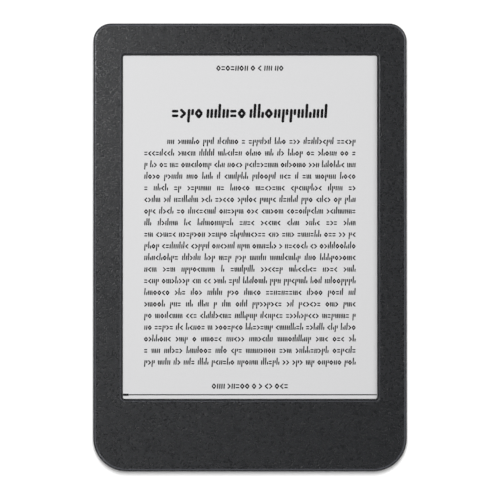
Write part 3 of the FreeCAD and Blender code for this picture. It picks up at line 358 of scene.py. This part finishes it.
# ---------------------------------------------------------------- materials
def spark_moulded_plastic(name, colour, rough, edge_highlight_colour=None, grit_mm=0.4, depth_mm=0.07):
    """Recycled ABS and polycarbonate from a spark-eroded mould: matt black, its grit glinting in light.

    The grit is about 0.1 mm across on the real plastic, and is drawn coarser so that it shows. On
    rounded edges the mould is polished, so the plastic is smoother there, and a much paler colour is painted
    there as a highlight line. The epoxy that chips are moulded in has the same matt grit, only finer.
    """
    low, high, swing = 0.15, 0.85, 0.12
    material, tree, place = start_material(name)
    cells = add_node(
        tree,
        "ShaderNodeTexVoronoi",
        {"Vector": place, "Scale": per(grit_mm), "Smoothness": 0.3},
        feature="SMOOTH_F1",
    )
    grit = add_node(tree, "ShaderNodeSeparateColor", {"Color": cells.outputs["Color"]}).outputs["Red"]
    base = two_tone(tree, grit, low, high, shade(colour, 0.8), shade(colour, 1.2))
    roughness = add_node(
        tree,
        "ShaderNodeMapRange",
        {"Value": grit, "From Min": low, "From Max": high, "To Min": rough - swing, "To Max": rough + swing},
    ).outputs["Result"]
    strength = 0.8
    # On the rounded edges a paler colour is painted as a highlight line, and the plastic is smoother there.
    if edge_highlight_colour:
        edge = on_rounded_edges(tree)
        tones = {MIX_SHARE: edge, MIX_FIRST: base, MIX_SECOND: rgba(edge_highlight_colour)}
        base = add_node(tree, "ShaderNodeMix", tones, data_type="RGBA").outputs[MIXED]
        roughness = add_node(
            tree, "ShaderNodeMapRange", {"Value": edge, "To Min": roughness, "To Max": 0.22}
        ).outputs["Result"]
        strength = add_node(
            tree, "ShaderNodeMapRange", {"Value": edge, "To Min": strength, "To Max": 0.1}
        ).outputs["Result"]
    relief = {"Height": grit, "Strength": strength, "Distance": depth_mm * MM}
    close_material(
        tree,
        Base_Color=base,
        Roughness=roughness,
        IOR=1.5,
        Specular_IOR_Level=0.36,
        Normal=add_node(tree, "ShaderNodeBump", relief).outputs["Normal"],
    )
    return material


def on_rounded_edges(tree):
    """1 on the part of a round that leans a little from a flat top, and 0 on the top and the walls: where
    the highlight is painted and the plastic is smoother.
    """
    normal = add_node(tree, "ShaderNodeTexCoord").outputs["Normal"]
    up = add_node(tree, "ShaderNodeSeparateXYZ", {"Vector": normal}).outputs["Z"]
    top_limits = {"Value": up, "From Min": 0.9995, "From Max": 0.995}
    wall_limits = {"Value": up, "From Min": 0.84, "From Max": 0.93}
    off_top = add_node(tree, "ShaderNodeMapRange", top_limits).outputs["Result"]
    off_wall = add_node(tree, "ShaderNodeMapRange", wall_limits).outputs["Result"]
    return add_node(tree, "ShaderNodeMath", {0: off_top, 1: off_wall}, operation="MULTIPLY").outputs[0]


def polished_plastic(name, colour, rough, turned_at=None):
    """Polycarbonate or nylon from a polished mould: even and satin, with faint rings on a turned part.

    Polished glass and silicon are as even, and only glossier.
    """
    material, tree, place = start_material(name)
    fine = add_node(tree, "ShaderNodeTexNoise", {"Vector": place, "Scale": per(0.3)}).outputs["Fac"]
    rings = None
    if turned_at is not None:
        centre = (-turned_at.x, -turned_at.y, 0.0)
        centred = add_node(tree, "ShaderNodeMapping", {"Vector": place, "Location": centre})
        rings = add_node(
            tree,
            "ShaderNodeTexWave",
            {"Vector": centred.outputs["Vector"], "Scale": per_wave(0.59)},
            wave_type="RINGS",
            rings_direction="Z",
        ).outputs["Fac"]
    base = two_tone(tree, fine, 0.3, 0.7, shade(colour, 0.9), shade(colour, 1.12))
    finish = roughness_and_relief(tree, fine, rough, 0.03, depth_mm=0.01, strength=0.5, height=rings)
    close_material(tree, Base_Color=base, IOR=1.58, **finish)
    return material


def etched_display(name, colour):
    """Ink particles under an etched anti-glare film: pale grey as paper, even and almost matt.

    The real etch is too fine to see, and is drawn 0.3 mm across so that it shows.
    """
    material, tree, place = start_material(name)
    grain = add_node(tree, "ShaderNodeTexNoise", {"Vector": place, "Scale": per(0.3)}).outputs["Fac"]
    base = two_tone(tree, grain, 0.3, 0.7, shade(colour, 0.985), shade(colour, 1.015))
    finish = roughness_and_relief(tree, grain, 0.63, 0.03, depth_mm=0.003, strength=0.2)
    close_material(tree, Base_Color=base, IOR=1.49, Specular_IOR_Level=0.2, **finish)
    return material


def display_ink(name, colour):
    """The display's black particles, seen through the same film: soft, and a little uneven."""
    material, tree, place = start_material(name)
    grain = add_node(tree, "ShaderNodeTexNoise", {"Vector": place, "Scale": per(0.22)}).outputs["Fac"]
    base = two_tone(tree, grain, 0.35, 0.65, shade(colour, 0.6), shade(colour, 1.6))
    close_material(tree, Base_Color=base, Roughness=0.62, IOR=1.49, Specular_IOR_Level=0.1)
    return material


def moulded_rubber(name, colour, rough):
    """Moulded silicone, foam or soft wire insulation: matt, with a dusty bloom."""
    material, tree, place = start_material(name)
    dust = {"Vector": place, "Scale": per(0.9), "Detail": 4.0, "Roughness": 0.6}
    bloom = add_node(tree, "ShaderNodeTexNoise", dust).outputs["Fac"]
    base = two_tone(tree, bloom, 0.4, 0.7, colour, shade(colour, 1.7))
    finish = roughness_and_relief(tree, bloom, rough, 0.08, depth_mm=0.02, strength=0.4)
    close_material(tree, Base_Color=base, IOR=1.41, **finish)
    return material


def bare_metal(name, colour, rough, rolled=(1.0, 1.0, 1.0), grain_mm=0.3, depth_mm=0.008):
    """Bare or plated metal; its marks are drawn out along the way that the sheet was rolled."""
    material, tree, place = start_material(name)
    drawn = add_node(tree, "ShaderNodeMapping", {"Vector": place, "Scale": rolled}).outputs["Vector"]
    lines = {"Vector": drawn, "Scale": per(grain_mm), "Detail": 4.0, "Roughness": 0.6}
    marks = add_node(tree, "ShaderNodeTexNoise", lines).outputs["Fac"]
    patches = {"Vector": place, "Scale": per(9.0), "Detail": 3.0}
    stain = add_node(tree, "ShaderNodeTexNoise", patches).outputs["Fac"]
    base = two_tone(tree, stain, 0.35, 0.7, shade(colour, 0.88), shade(colour, 1.06))
    finish = roughness_and_relief(tree, marks, rough, 0.07, depth_mm, strength=0.35)
    close_material(tree, Base_Color=base, Metallic=1.0, **finish)
    return material


def masked_circuit_board(name):
    """Glass-epoxy laminate under green solder mask: glossy, with copper showing as paler islands."""
    material, tree, place = start_material(name)
    grid = {"Vector": place, "Scale": per(1.2)}
    cells = add_node(tree, "ShaderNodeTexVoronoi", grid, distance="MANHATTAN").outputs["Distance"]
    islands = {"Value": cells, "From Min": 0.5, "From Max": 0.56, "To Min": 1.0, "To Max": 0.0}
    copper = add_node(tree, "ShaderNodeMapRange", islands).outputs["Result"]
    gloss = {"Value": copper, "To Min": 0.3, "To Max": 0.38}
    relief = {"Height": copper, "Strength": 0.5, "Distance": 0.02 * MM}
    close_material(
        tree,
        Base_Color=two_tone(tree, copper, 0.0, 1.0, linear("0C3320"), linear("1D5E3A")),
        Roughness=add_node(tree, "ShaderNodeMapRange", gloss).outputs["Result"],
        IOR=1.55,
        Coat_Weight=0.4,
        Coat_Roughness=0.15,
        Normal=add_node(tree, "ShaderNodeBump", relief).outputs["Normal"],
    )
    return material


def pouch_laminate(name):
    """Aluminium laminate of a pouch cell, heat-sealed: silvery, dull and slightly wrinkled."""
    material, tree, place = start_material(name)
    creases = {"Vector": place, "Scale": per(7.0), "Detail": 5.0, "Roughness": 0.55}
    wrinkle = add_node(tree, "ShaderNodeTexNoise", creases).outputs["Fac"]
    fine = add_node(tree, "ShaderNodeTexNoise", {"Vector": place, "Scale": per(0.5)}).outputs["Fac"]
    base = two_tone(tree, wrinkle, 0.35, 0.65, linear("A4A6A9"), linear("C9CBCD"))
    finish = roughness_and_relief(tree, fine, 0.4, 0.06, depth_mm=0.15, strength=0.5, height=wrinkle)
    close_material(tree, Base_Color=base, Metallic=0.85, **finish)
    return material


def polyimide_film(name):
    """Amber polyimide film laminated over etched copper lines: glossy, with fine stripes."""
    material, tree, place = start_material(name)
    lines = {"Vector": place, "Scale": per_wave(0.99)}
    stripes = add_node(tree, "ShaderNodeTexWave", lines).outputs["Fac"]
    gloss = {"Value": stripes, "To Min": 0.34, "To Max": 0.4}
    relief = {"Height": stripes, "Strength": 0.4, "Distance": 0.01 * MM}
    close_material(
        tree,
        Base_Color=two_tone(tree, stripes, 0.4, 0.6, linear("8A4A12"), linear("C8812E")),
        Roughness=add_node(tree, "ShaderNodeMapRange", gloss).outputs["Result"],
        IOR=1.7,
        Normal=add_node(tree, "ShaderNodeBump", relief).outputs["Normal"],
    )
    return material


def frosted_acrylic(name, colour, alpha):
    """Cast acrylic with an etched face: milky, and slightly see-through."""
    material, tree, place = start_material(name)
    frost = {"Vector": place, "Scale": per(0.15), "Detail": 3.0}
    etch = add_node(tree, "ShaderNodeTexNoise", frost).outputs["Fac"]
    relief = {"Height": etch, "Strength": 0.3, "Distance": 0.01 * MM}
    close_material(
        tree,
        Base_Color=two_tone(tree, etch, 0.3, 0.7, shade(colour, 0.92), shade(colour, 1.05)),
        Roughness=0.28,
        IOR=1.49,
        Alpha=alpha,
        Normal=add_node(tree, "ShaderNodeBump", relief).outputs["Normal"],
    )
    return material


def make_finish(slot):
    """The material of one of the record's finishes."""
    colours = bpy.context.scene.reader_colours
    black, grey = linear("1B1B1D"), linear("2A2A2E")
    makers = {
        "frame_plastic": lambda: spark_moulded_plastic(
            "front_spark_plastic", colours.front, 0.34, colours.front_edge_highlight
        ),
        "cover_plastic": lambda: spark_moulded_plastic(
            "back_spark_plastic", colours.back, 0.5, grit_mm=0.3, depth_mm=0.03
        ),
        "button_plastic": lambda: polished_plastic(
            "button_satin_plastic", colours.button, 0.36, middle(BUTTON_LOW, BUTTON_HIGH)
        ),
        "silicone": lambda: moulded_rubber("seal_silicone", linear("202123"), 0.75),
        "cast_magnesium": lambda: bare_metal(
            "cast_magnesium", linear("8E9092"), 0.51, grain_mm=0.6, depth_mm=0.03
        ),
        "screw_steel": lambda: bare_metal("black_zinc_steel", linear("5A5B5F"), 0.35),
        "foam_tape": lambda: moulded_rubber("foam_tape", black, 0.85),
        "clear_film": lambda: etched_display("display_film", colours.paper),
        "clear_acrylic": lambda: frosted_acrylic("etched_acrylic", linear("E9ECEE"), 0.75),
        "ink_layer": lambda: etched_display("ink_sheet", colours.paper),
        "display_glass": lambda: polished_plastic("backplane_glass", linear("7C8486"), 0.2),
        "chip_silicon": lambda: polished_plastic("driver_silicon", linear("2E2E34"), 0.16),
        "polyimide_flex": lambda: polyimide_film("polyimide_flex"),
        "led_package": lambda: polished_plastic("led_phosphor", linear("EBE3B4"), 0.3),
        "circuit_board": lambda: masked_circuit_board("green_solder_mask"),
        "chip_epoxy": lambda: spark_moulded_plastic("chip_epoxy", grey, 0.55, grit_mm=0.2, depth_mm=0.01),
        "tinned_steel": lambda: bare_metal("tinned_steel", linear("B6B8BA"), 0.31, (1.0, 6.0, 1.0)),
        "connector_plastic": lambda: polished_plastic("connector_nylon", linear("D9D3C4"), 0.45),
        "connector_black": lambda: polished_plastic("connector_polymer", black, 0.45),
        "gold_contact": lambda: bare_metal("gold_plate", linear("D9B25A"), 0.23),
        "pouch_foil": lambda: pouch_laminate("pouch_laminate"),
        "wire_insulation": lambda: moulded_rubber("wire_insulation", linear("9A1B18"), 0.5),
        "page_ink": lambda: display_ink("display_ink", colours.ink),
    }
    return makers[slot]()


FINISHES = {}


def finish_of(slot):
    """A finish's material, made the first time that it is asked for."""
    if slot not in FINISHES:
        FINISHES[slot] = make_finish(slot)
    return FINISHES[slot]


# ---------------------------------------------------------------- the case and the screen
class READER_OT_finish_parts(bpy.types.Operator):
    """Gives every part of the frame the material of its finish"""

    bl_idname = "reader.finish_parts"
    bl_label = "Finish the parts"

    def execute(self, context):
        for entry in frame["record"]["subparts"]:
            for place in frame["nodes"][entry["node"]].material_slots:
                place.material = finish_of(entry["material_slot"])
        return {"FINISHED"}


class READER_OT_front_case(bpy.types.Operator):
    """Gives the front frame whole faces and smooth rounds"""

    bl_idname = "reader.front_case"
    bl_label = "Front case"

    def execute(self, context):
        case = smooth_copy("front_frame")
        smooth(case)
        finished(case, "front_case", HOUSING, "frame_plastic")
        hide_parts("front_frame")
        return {"FINISHED"}


class READER_OT_back_case(bpy.types.Operator):
    """Gives the rear cover whole faces, smooth rounds and a flat set back by its grip dots' height"""

    bl_idname = "reader.back_case"
    bl_label = "Back case"

    def execute(self, context):
        sizes = context.scene.reader_sizes
        case = smooth_copy("rear_cover")
        choose_faces(case, lambda centre, normal: centre.z < COVER_LOW.z + 0.01 * MM)
        bpy.ops.transform.translate(value=(0, 0, sizes.dot_height))
        close_edit()
        smooth(case)
        finished(case, "back_case", HOUSING, "cover_plastic")
        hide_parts("rear_cover")
        return {"FINISHED"}


class READER_OT_grip_dots(bpy.types.Operator):
    """Covers the flat of the back with low round dots"""

    bl_idname = "reader.grip_dots"
    bl_label = "Grip dots"

    def execute(self, context):
        sizes = context.scene.reader_sizes
        dot = grip_dot(sizes.dot_radius, sizes.dot_height)
        dots = [copy_at(dot, place) for place in dot_places(sizes)]
        bpy.data.objects.remove(dot)
        finished(join(dots), "cover_dots", HOUSING, "cover_plastic")
        return {"FINISHED"}


def grip_dot(radius, height):
    """One low dot at the origin, narrower at its lower end."""
    bpy.ops.object.select_all(action="DESELECT")
    bpy.ops.mesh.primitive_cylinder_add(vertices=8, radius=radius, depth=height)
    dot = bpy.context.active_object
    choose_faces(dot, lambda centre, normal: normal.z < -0.9)
    bpy.ops.transform.resize(value=(DOT_TIP, DOT_TIP, 1.0))
    close_edit()
    smooth(dot, 60)
    return dot


def dot_places(sizes):
    """Places of the dots in rows set off by half, clear of the edges, the button and the light."""
    reach_x, reach_y = COVER_HIGH.x - EDGE_MARGIN, COVER_HIGH.y - EDGE_MARGIN
    row_pitch = sizes.dot_pitch * math.sqrt(3) / 2
    button, pipe = middle(BUTTON_LOW, BUTTON_HIGH), middle(PIPE_LOW, PIPE_HIGH)
    rows, columns = int(reach_y / row_pitch), int(reach_x / sizes.dot_pitch) + 1
    places = []
    for row in range(-rows, rows + 1):
        for column in range(-columns, columns + 1):
            x = (column + (row % 2) / 2) * sizes.dot_pitch
            place = Vector((x, row * row_pitch, COVER_LOW.z + sizes.dot_height / 2))
            near_button = (place - button).xy.length < BUTTON_MARGIN
            near_pipe = (place - pipe).xy.length < LIGHT_MARGIN
            if inside_corners(place, reach_x, reach_y) and not (near_button or near_pipe):
                places.append(place)
    return places


def inside_corners(place, reach_x, reach_y):
    """Whether a place is inside a rectangle with rounded corners."""
    over_x = abs(place.x) - (reach_x - CORNER_RADIUS)
    over_y = abs(place.y) - (reach_y - CORNER_RADIUS)
    if min(over_x, over_y) < 0:
        return max(over_x, over_y) < CORNER_RADIUS
    return math.hypot(over_x, over_y) < CORNER_RADIUS


class READER_OT_screen(bpy.types.Operator):
    """Models the screen's face, a thin film with rounded corners and a broken edge"""

    bl_idname = "reader.screen"
    bl_label = "Screen"

    def execute(self, context):
        face = add_bar(FILM_LOW, FILM_HIGH, FILM_CORNER, segments=6)
        modify(face, "BEVEL", width=FILM_EDGE, segments=2, limit_method="ANGLE")
        smooth(face)
        finished(face, "screen_face", HOUSING, "clear_film")
        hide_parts("touch_film")
        return {"FINISHED"}


class READER_OT_power_button(bpy.types.Operator):
    """Gives the power button's dished cap whole faces and smooth rounds"""

    bl_idname = "reader.power_button"
    bl_label = "Power button"

    def execute(self, context):
        cap = smooth_copy("power_button")
        smooth(cap, 30)
        finished(cap, "power_cap", CAP, "button_plastic")
        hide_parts("power_button")
        return {"FINISHED"}


# ---------------------------------------------------------------- the page
# Each mark is a few strokes, each from one place to another, in shares of a low mark's height. They
# stand for printing and are no letters: lozenges, angles, double dashes and parallel slanted strokes.
TOP, HIGH, LOW, DEEP = 1.5, 0.92, 0.08, -0.42
MARKS = (
    ((0.12, 0.5, 0.44, HIGH), (0.44, HIGH, 0.76, 0.5), (0.76, 0.5, 0.44, LOW), (0.44, LOW, 0.12, 0.5)),
    ((0.16, LOW, 0.22, HIGH), (0.58, LOW, 0.64, HIGH)),
    ((0.16, HIGH, 0.6, 0.5), (0.6, 0.5, 0.16, LOW)),
    ((0.16, LOW, 0.25, TOP), (0.58, LOW, 0.62, 0.6)),
    ((0.22, LOW, 0.16, HIGH), (0.6, LOW, 0.54, HIGH), (0.98, LOW, 0.92, HIGH)),
    ((0.12, 0.24, 0.66, 0.24), (0.12, 0.76, 0.66, 0.76)),
    ((0.14, DEEP, 0.24, HIGH), (0.6, 0.4, 0.64, HIGH)),
    ((0.64, HIGH, 0.16, 0.5), (0.16, 0.5, 0.64, LOW)),
    ((0.16, LOW, 0.22, HIGH), (0.58, LOW, 0.67, TOP)),
)
WORD_LENGTHS = (1, 2, 2, 2, 3, 3, 3, 3, 4, 4, 4, 5, 5, 6, 6, 7, 8, 9)
LEAST_SPACE = 0.75 * MM
STROKE_THICKNESS, LEVEL_STEP = 0.016 * MM, 0.001 * MM
# The height of a low mark and the width of its strokes.
HEAD_MARK, TITLE_MARK, BODY_MARK = (1.9 * MM, 0.44 * MM), (3.2 * MM, 0.98 * MM), (1.62 * MM, 0.42 * MM)
HEAD_KINDS = (0, 1, 2, 5, 7)
HEADER_WORDS, FOOTER_WORDS, TITLE_WORDS = (7, 1, 1, 2, 2), (3, 5, 1, 1, 2, 3), (4, 5, 10)


def add_stroke(start, end, width, foot_z):
    """A flat bar with broken corners from one place to another."""
    along = end - start
    half = Vector((along.length / 2, width / 2, STROKE_THICKNESS / 2))
    stroke = add_bar(-half, half, 0.3 * width)
    place = Vector((*middle(start, end), foot_z + half.z / 2))
    turn = Matrix.Rotation(math.atan2(along.y, along.x), 4, "Z")
    stroke.data.transform(Matrix.Translation(place) @ turn)
    return stroke


class Marks:
    """A set of marks of one size, and the words and lines that are made of them."""

    def __init__(self, height, weight, dice, kinds=range(len(MARKS))):
        self.height = height
        self.dice = dice
        self.kinds = list(kinds)
        self.templates = [self.model(MARKS[kind], weight) for kind in self.kinds]
        self.widths = [self.width_of_mark(MARKS[kind]) + weight * 0.75 for kind in self.kinds]
        self.made = []

    def model(self, strokes, weight):
        """Models one mark at the origin, each stroke a hair above the last."""
        shapes = []
        for left, foot, right, top in strokes:
            start, end = Vector((left, foot)) * self.height, Vector((right, top)) * self.height
            reach = (end - start).normalized() * weight * 0.3
            level = FILM_HIGH.z + len(shapes) * LEVEL_STEP
            shapes.append(add_stroke(start - reach, end + reach, weight, level))
        return join(shapes)

    def width_of_mark(self, strokes):
        return max(max(left, right) for left, _, right, _ in strokes) * self.height

    def word(self, count):
        return [self.dice.randrange(len(self.kinds)) for _ in range(count)]

    def width_of(self, word):
        return sum(self.widths[kind] for kind in word)

    def set_word(self, word, left, foot):
        for kind in word:
            self.made.append(copy_at(self.templates[kind], (left, foot, 0)))
            left += self.widths[kind]

    def set_words(self, words, left, right, foot):
        """Sets words from a left to a right edge, with equal spaces between them."""
        space = (right - left - sum(map(self.width_of, words))) / max(1, len(words) - 1)
        for word in words:
            self.set_word(word, left, foot)
            left += self.width_of(word) + space

    def fill_line(self, left, right, foot):
        """Fills a line with words of random lengths and spreads them over it."""
        words = [self.word(self.dice.choice(WORD_LENGTHS))]
        while True:
            word = self.word(self.dice.choice(WORD_LENGTHS))
            taken = sum(map(self.width_of, words)) + self.width_of(word)
            if taken + len(words) * LEAST_SPACE > right - left:
                break
            words.append(word)
        self.set_words(words, left, right, foot)

    def finish(self, name):
        for template in self.templates:
            bpy.data.objects.remove(template)
        page = finished(join(self.made), name, HOUSING, "ink_layer")
        page.data.materials[0] = finish_of("page_ink")


def page_top(sizes):
    return FILM_HIGH.y - sizes.top_border


class READER_OT_page_heads(bpy.types.Operator):
    """Sets the small marks of the page's header and footer"""

    bl_idname = "reader.page_heads"
    bl_label = "Header and footer"

    def execute(self, context):
        sizes = context.scene.reader_sizes
        rows = (
            ("page_header", sizes.header_down, sizes.header_width, HEADER_WORDS, 31),
            ("page_footer", sizes.footer_down, sizes.footer_width, FOOTER_WORDS, 32),
        )
        for name, down, width, words, seed in rows:
            marks = Marks(*HEAD_MARK, random.Random(seed), HEAD_KINDS)
            foot = page_top(sizes) - down - marks.height / 2
            marks.set_words([marks.word(count) for count in words], -width / 2, width / 2, foot)
            marks.finish(name)
        return {"FINISHED"}


class READER_OT_page_title(bpy.types.Operator):
    """Sets the page's title in heavy marks"""

    bl_idname = "reader.page_title"
    bl_label = "Title"

    def execute(self, context):
        sizes = context.scene.reader_sizes
        marks = Marks(*TITLE_MARK, random.Random(7))
        foot = page_top(sizes) - sizes.title_down
        half = sizes.title_width / 2
        marks.set_words([marks.word(count) for count in TITLE_WORDS], -half, half, foot)
        marks.finish("page_title")
        return {"FINISHED"}


class READER_OT_page_body(bpy.types.Operator):
    """Fills the page's lines with marks, the first line indented"""

    bl_idname = "reader.page_body"
    bl_label = "Body"

    def execute(self, context):
        sizes = context.scene.reader_sizes
        marks = Marks(*BODY_MARK, random.Random(2))
        right = sizes.column / 2
        for line in range(sizes.lines):
            left = -right + (sizes.indent if line == 0 else 0)
            foot = page_top(sizes) - sizes.body_down - line * sizes.pitch
            marks.fill_line(left, right, foot)
        marks.finish("page_body")
        return {"FINISHED"}


class READER_OT_page_progress(bpy.types.Operator):
    """Draws the thin progress line under the page and its dark start"""

    bl_idname = "reader.page_progress"
    bl_label = "Progress line"

    def execute(self, context):
        sizes = context.scene.reader_sizes
        y = page_top(sizes) - sizes.progress_down
        left, right = -sizes.view_width / 2, sizes.view_width / 2
        low = FILM_HIGH.z - STROKE_THICKNESS / 4
        high = low + STROKE_THICKNESS
        half = sizes.progress_height / 2
        line = add_bar((left, y - half, low), (right, y + half, high), 0.05 * MM)
        half = sizes.done_height / 2
        end = (left + sizes.progress_done, y + half, high + 3 * LEVEL_STEP)
        done = add_bar((left, y - half, low), end, 0.1 * MM)
        track = finished(join([line, done]), "page_progress", HOUSING, "ink_layer")
        track.data.materials[0] = finish_of("page_ink")
        return {"FINISHED"}


# ---------------------------------------------------------------- the stage
class READER_OT_stage(bpy.types.Operator):
    """Makes the floor, the lamps, the world and the camera"""

    bl_idname = "reader.stage"
    bl_label = "Stage"

    def execute(self, context):
        add_floor()
        add_lamps()
        light_world()
        add_camera()
        context.scene.view_settings.view_transform = "Standard"
        return {"FINISHED"}


def seen_directly(tree):
    """1 for what the camera sees, in glass and in metal too, and 0 for what lights the object."""
    rays = add_node(tree, "ShaderNodeLightPath").outputs
    seen = rays["Is Camera Ray"]
    for kind in ("Is Glossy Ray", "Is Transmission Ray"):
        seen = add_node(tree, "ShaderNodeMath", {0: seen, 1: rays[kind]}, operation="MAXIMUM").outputs[0]
    return seen


def add_floor():
    """A pale paper sweep that the camera sees as white, with the object's shadow on it."""
    bpy.ops.object.select_all(action="DESELECT")
    bpy.ops.mesh.primitive_plane_add(size=6.0, location=(0, 0, CAD_BOX[0][2] - 0.02 * MM))
    floor = bpy.context.active_object
    floor.name = "floor"
    in_place(floor)
    material, tree, place = start_material("white_paper")
    fibre = add_node(tree, "ShaderNodeTexNoise", {"Vector": place, "Scale": per(1.5)}).outputs["Fac"]
    colour = two_tone(tree, fibre, 0.3, 0.7, linear("F2F2F2"), linear("F5F5F5"))
    paper = add_node(tree, "ShaderNodeBsdfDiffuse", {"Color": colour}).outputs[0]
    levels = {"Value": seen_directly(tree), "To Min": 0.0, "To Max": 0.12}
    strength = add_node(tree, "ShaderNodeMapRange", levels).outputs["Result"]
    glow = add_node(tree, "ShaderNodeEmission", {"Strength": strength}).outputs[0]
    both = add_node(tree, "ShaderNodeAddShader", {0: paper, 1: glow}).outputs[0]
    add_node(tree, "ShaderNodeOutputMaterial", {"Surface": both})
    floor.data.materials.append(material)


def add_lamp(name, place, size, level, receivers):
    """A soft lamp pointing at the object; its level is the share of full light that it gives there."""
    place = Vector(place)
    bpy.ops.object.light_add(type="AREA", location=place)
    lamp = bpy.context.active_object
    lamp.name = name
    lamp.data.shape = "RECTANGLE"
    lamp.data.size, lamp.data.size_y = size
    lamp.data.energy = level * math.pi**2 * place.length**3 / place.z
    lamp.rotation_euler = (-place).to_track_quat("-Z", "Y").to_euler()
    lamp.light_linking.receiver_collection = receivers


def floor_group(name, state):
    """A group that lets a lamp light only the floor, or all but the floor."""
    group = bpy.data.collections.new(name)
    group.objects.link(bpy.data.objects["floor"])
    group.collection_objects[0].light_linking.link_state = state
    return group


def add_lamps():
    """A wide one overhead, two strips at the left, a low one at the right and one for the floor alone."""
    reader = floor_group("all_but_floor", "EXCLUDE")
    floor = floor_group("floor_only", "INCLUDE")
    add_lamp("overhead", (0.1, -0.1, 1.6), (3.6, 3.6), 0.52, reader)
    add_lamp("strip", (-0.22, 0.15, 0.5), (0.05, 0.3), 0.42, reader)
    add_lamp("low_strip", (-0.22, -0.2, 0.5), (0.05, 0.15), 0.12, reader)
    add_lamp("low_right", (0.9, 0.4, 0.65), (0.5, 0.5), 0.26, reader)
    add_lamp("floor_lamp", (0.0, 0.09, 1.2), (0.15, 0.3), 1.05, floor)


def light_world():
    """A pale room: white where it is seen, dimmer where it lights."""
    world = bpy.data.worlds.new("pale_room")
    world.use_nodes = True
    tree = world.node_tree
    tree.nodes.clear()
    rays = add_node(tree, "ShaderNodeLightPath").outputs
    levels = {"Value": rays["Is Camera Ray"], "To Min": 0.13, "To Max": 1.0}
    strength = add_node(tree, "ShaderNodeMapRange", levels).outputs["Result"]
    glow = add_node(tree, "ShaderNodeBackground", {"Strength": strength}).outputs[0]
    add_node(tree, "ShaderNodeOutputWorld", {"Surface": glow})
    bpy.context.scene.world = world


def add_camera():
    """A long lens above the screen, a little towards the reader's lap."""
    distance, lean = 1.4, math.radians(1)
    seen_width, sensor = 178.4 * MM, 36.0
    aim = Vector((0, -1.0 * MM, CAD_BOX[1][2]))
    place = aim + distance * Vector((0, -math.sin(lean), math.cos(lean)))
    bpy.ops.object.camera_add(location=place, rotation=(lean, 0, 0))
    camera = bpy.context.active_object
    camera.data.sensor_width = sensor
    camera.data.lens = sensor * distance / seen_width
    camera.data.clip_start = 0.05
    bpy.context.scene.camera = camera


# ---------------------------------------------------------------- panel and start
OPERATORS = (
    READER_OT_finish_parts,
    READER_OT_front_case,
    READER_OT_back_case,
    READER_OT_grip_dots,
    READER_OT_screen,
    READER_OT_power_button,
    READER_OT_page_heads,
    READER_OT_page_title,
    READER_OT_page_body,
    READER_OT_page_progress,
    READER_OT_stage,
)


class READER_PT_panel(bpy.types.Panel):
    """Lists the reader's sizes, colours and pieces"""

    bl_idname = "READER_PT_panel"
    bl_label = "E-reader"
    bl_space_type = "VIEW_3D"
    bl_region_type = "UI"
    bl_category = "Reader"

    def draw(self, context):
        for group in (context.scene.reader_sizes, context.scene.reader_colours):
            for name in group.__annotations__:
                self.layout.prop(group, name)
        for operator in OPERATORS:
            self.layout.operator(operator.bl_idname)


CLASSES = (ReaderSizes, ReaderColours, *OPERATORS, READER_PT_panel)


def register():
    for item in CLASSES:
        bpy.utils.register_class(item)
    bpy.types.Scene.reader_sizes = bpy.props.PointerProperty(type=ReaderSizes)
    bpy.types.Scene.reader_colours = bpy.props.PointerProperty(type=ReaderColours)


def unregister():
    del bpy.types.Scene.reader_colours
    del bpy.types.Scene.reader_sizes
    for item in reversed(CLASSES):
        bpy.utils.unregister_class(item)


def main():
    register()
    bpy.ops.reader.finish_parts()
    bpy.ops.reader.front_case()
    bpy.ops.reader.back_case()
    bpy.ops.reader.grip_dots()
    bpy.ops.reader.screen()
    bpy.ops.reader.power_button()
    bpy.ops.reader.page_heads()
    bpy.ops.reader.page_title()
    bpy.ops.reader.page_body()
    bpy.ops.reader.page_progress()
    bpy.ops.reader.stage()


if __name__ == "__main__":
    main()
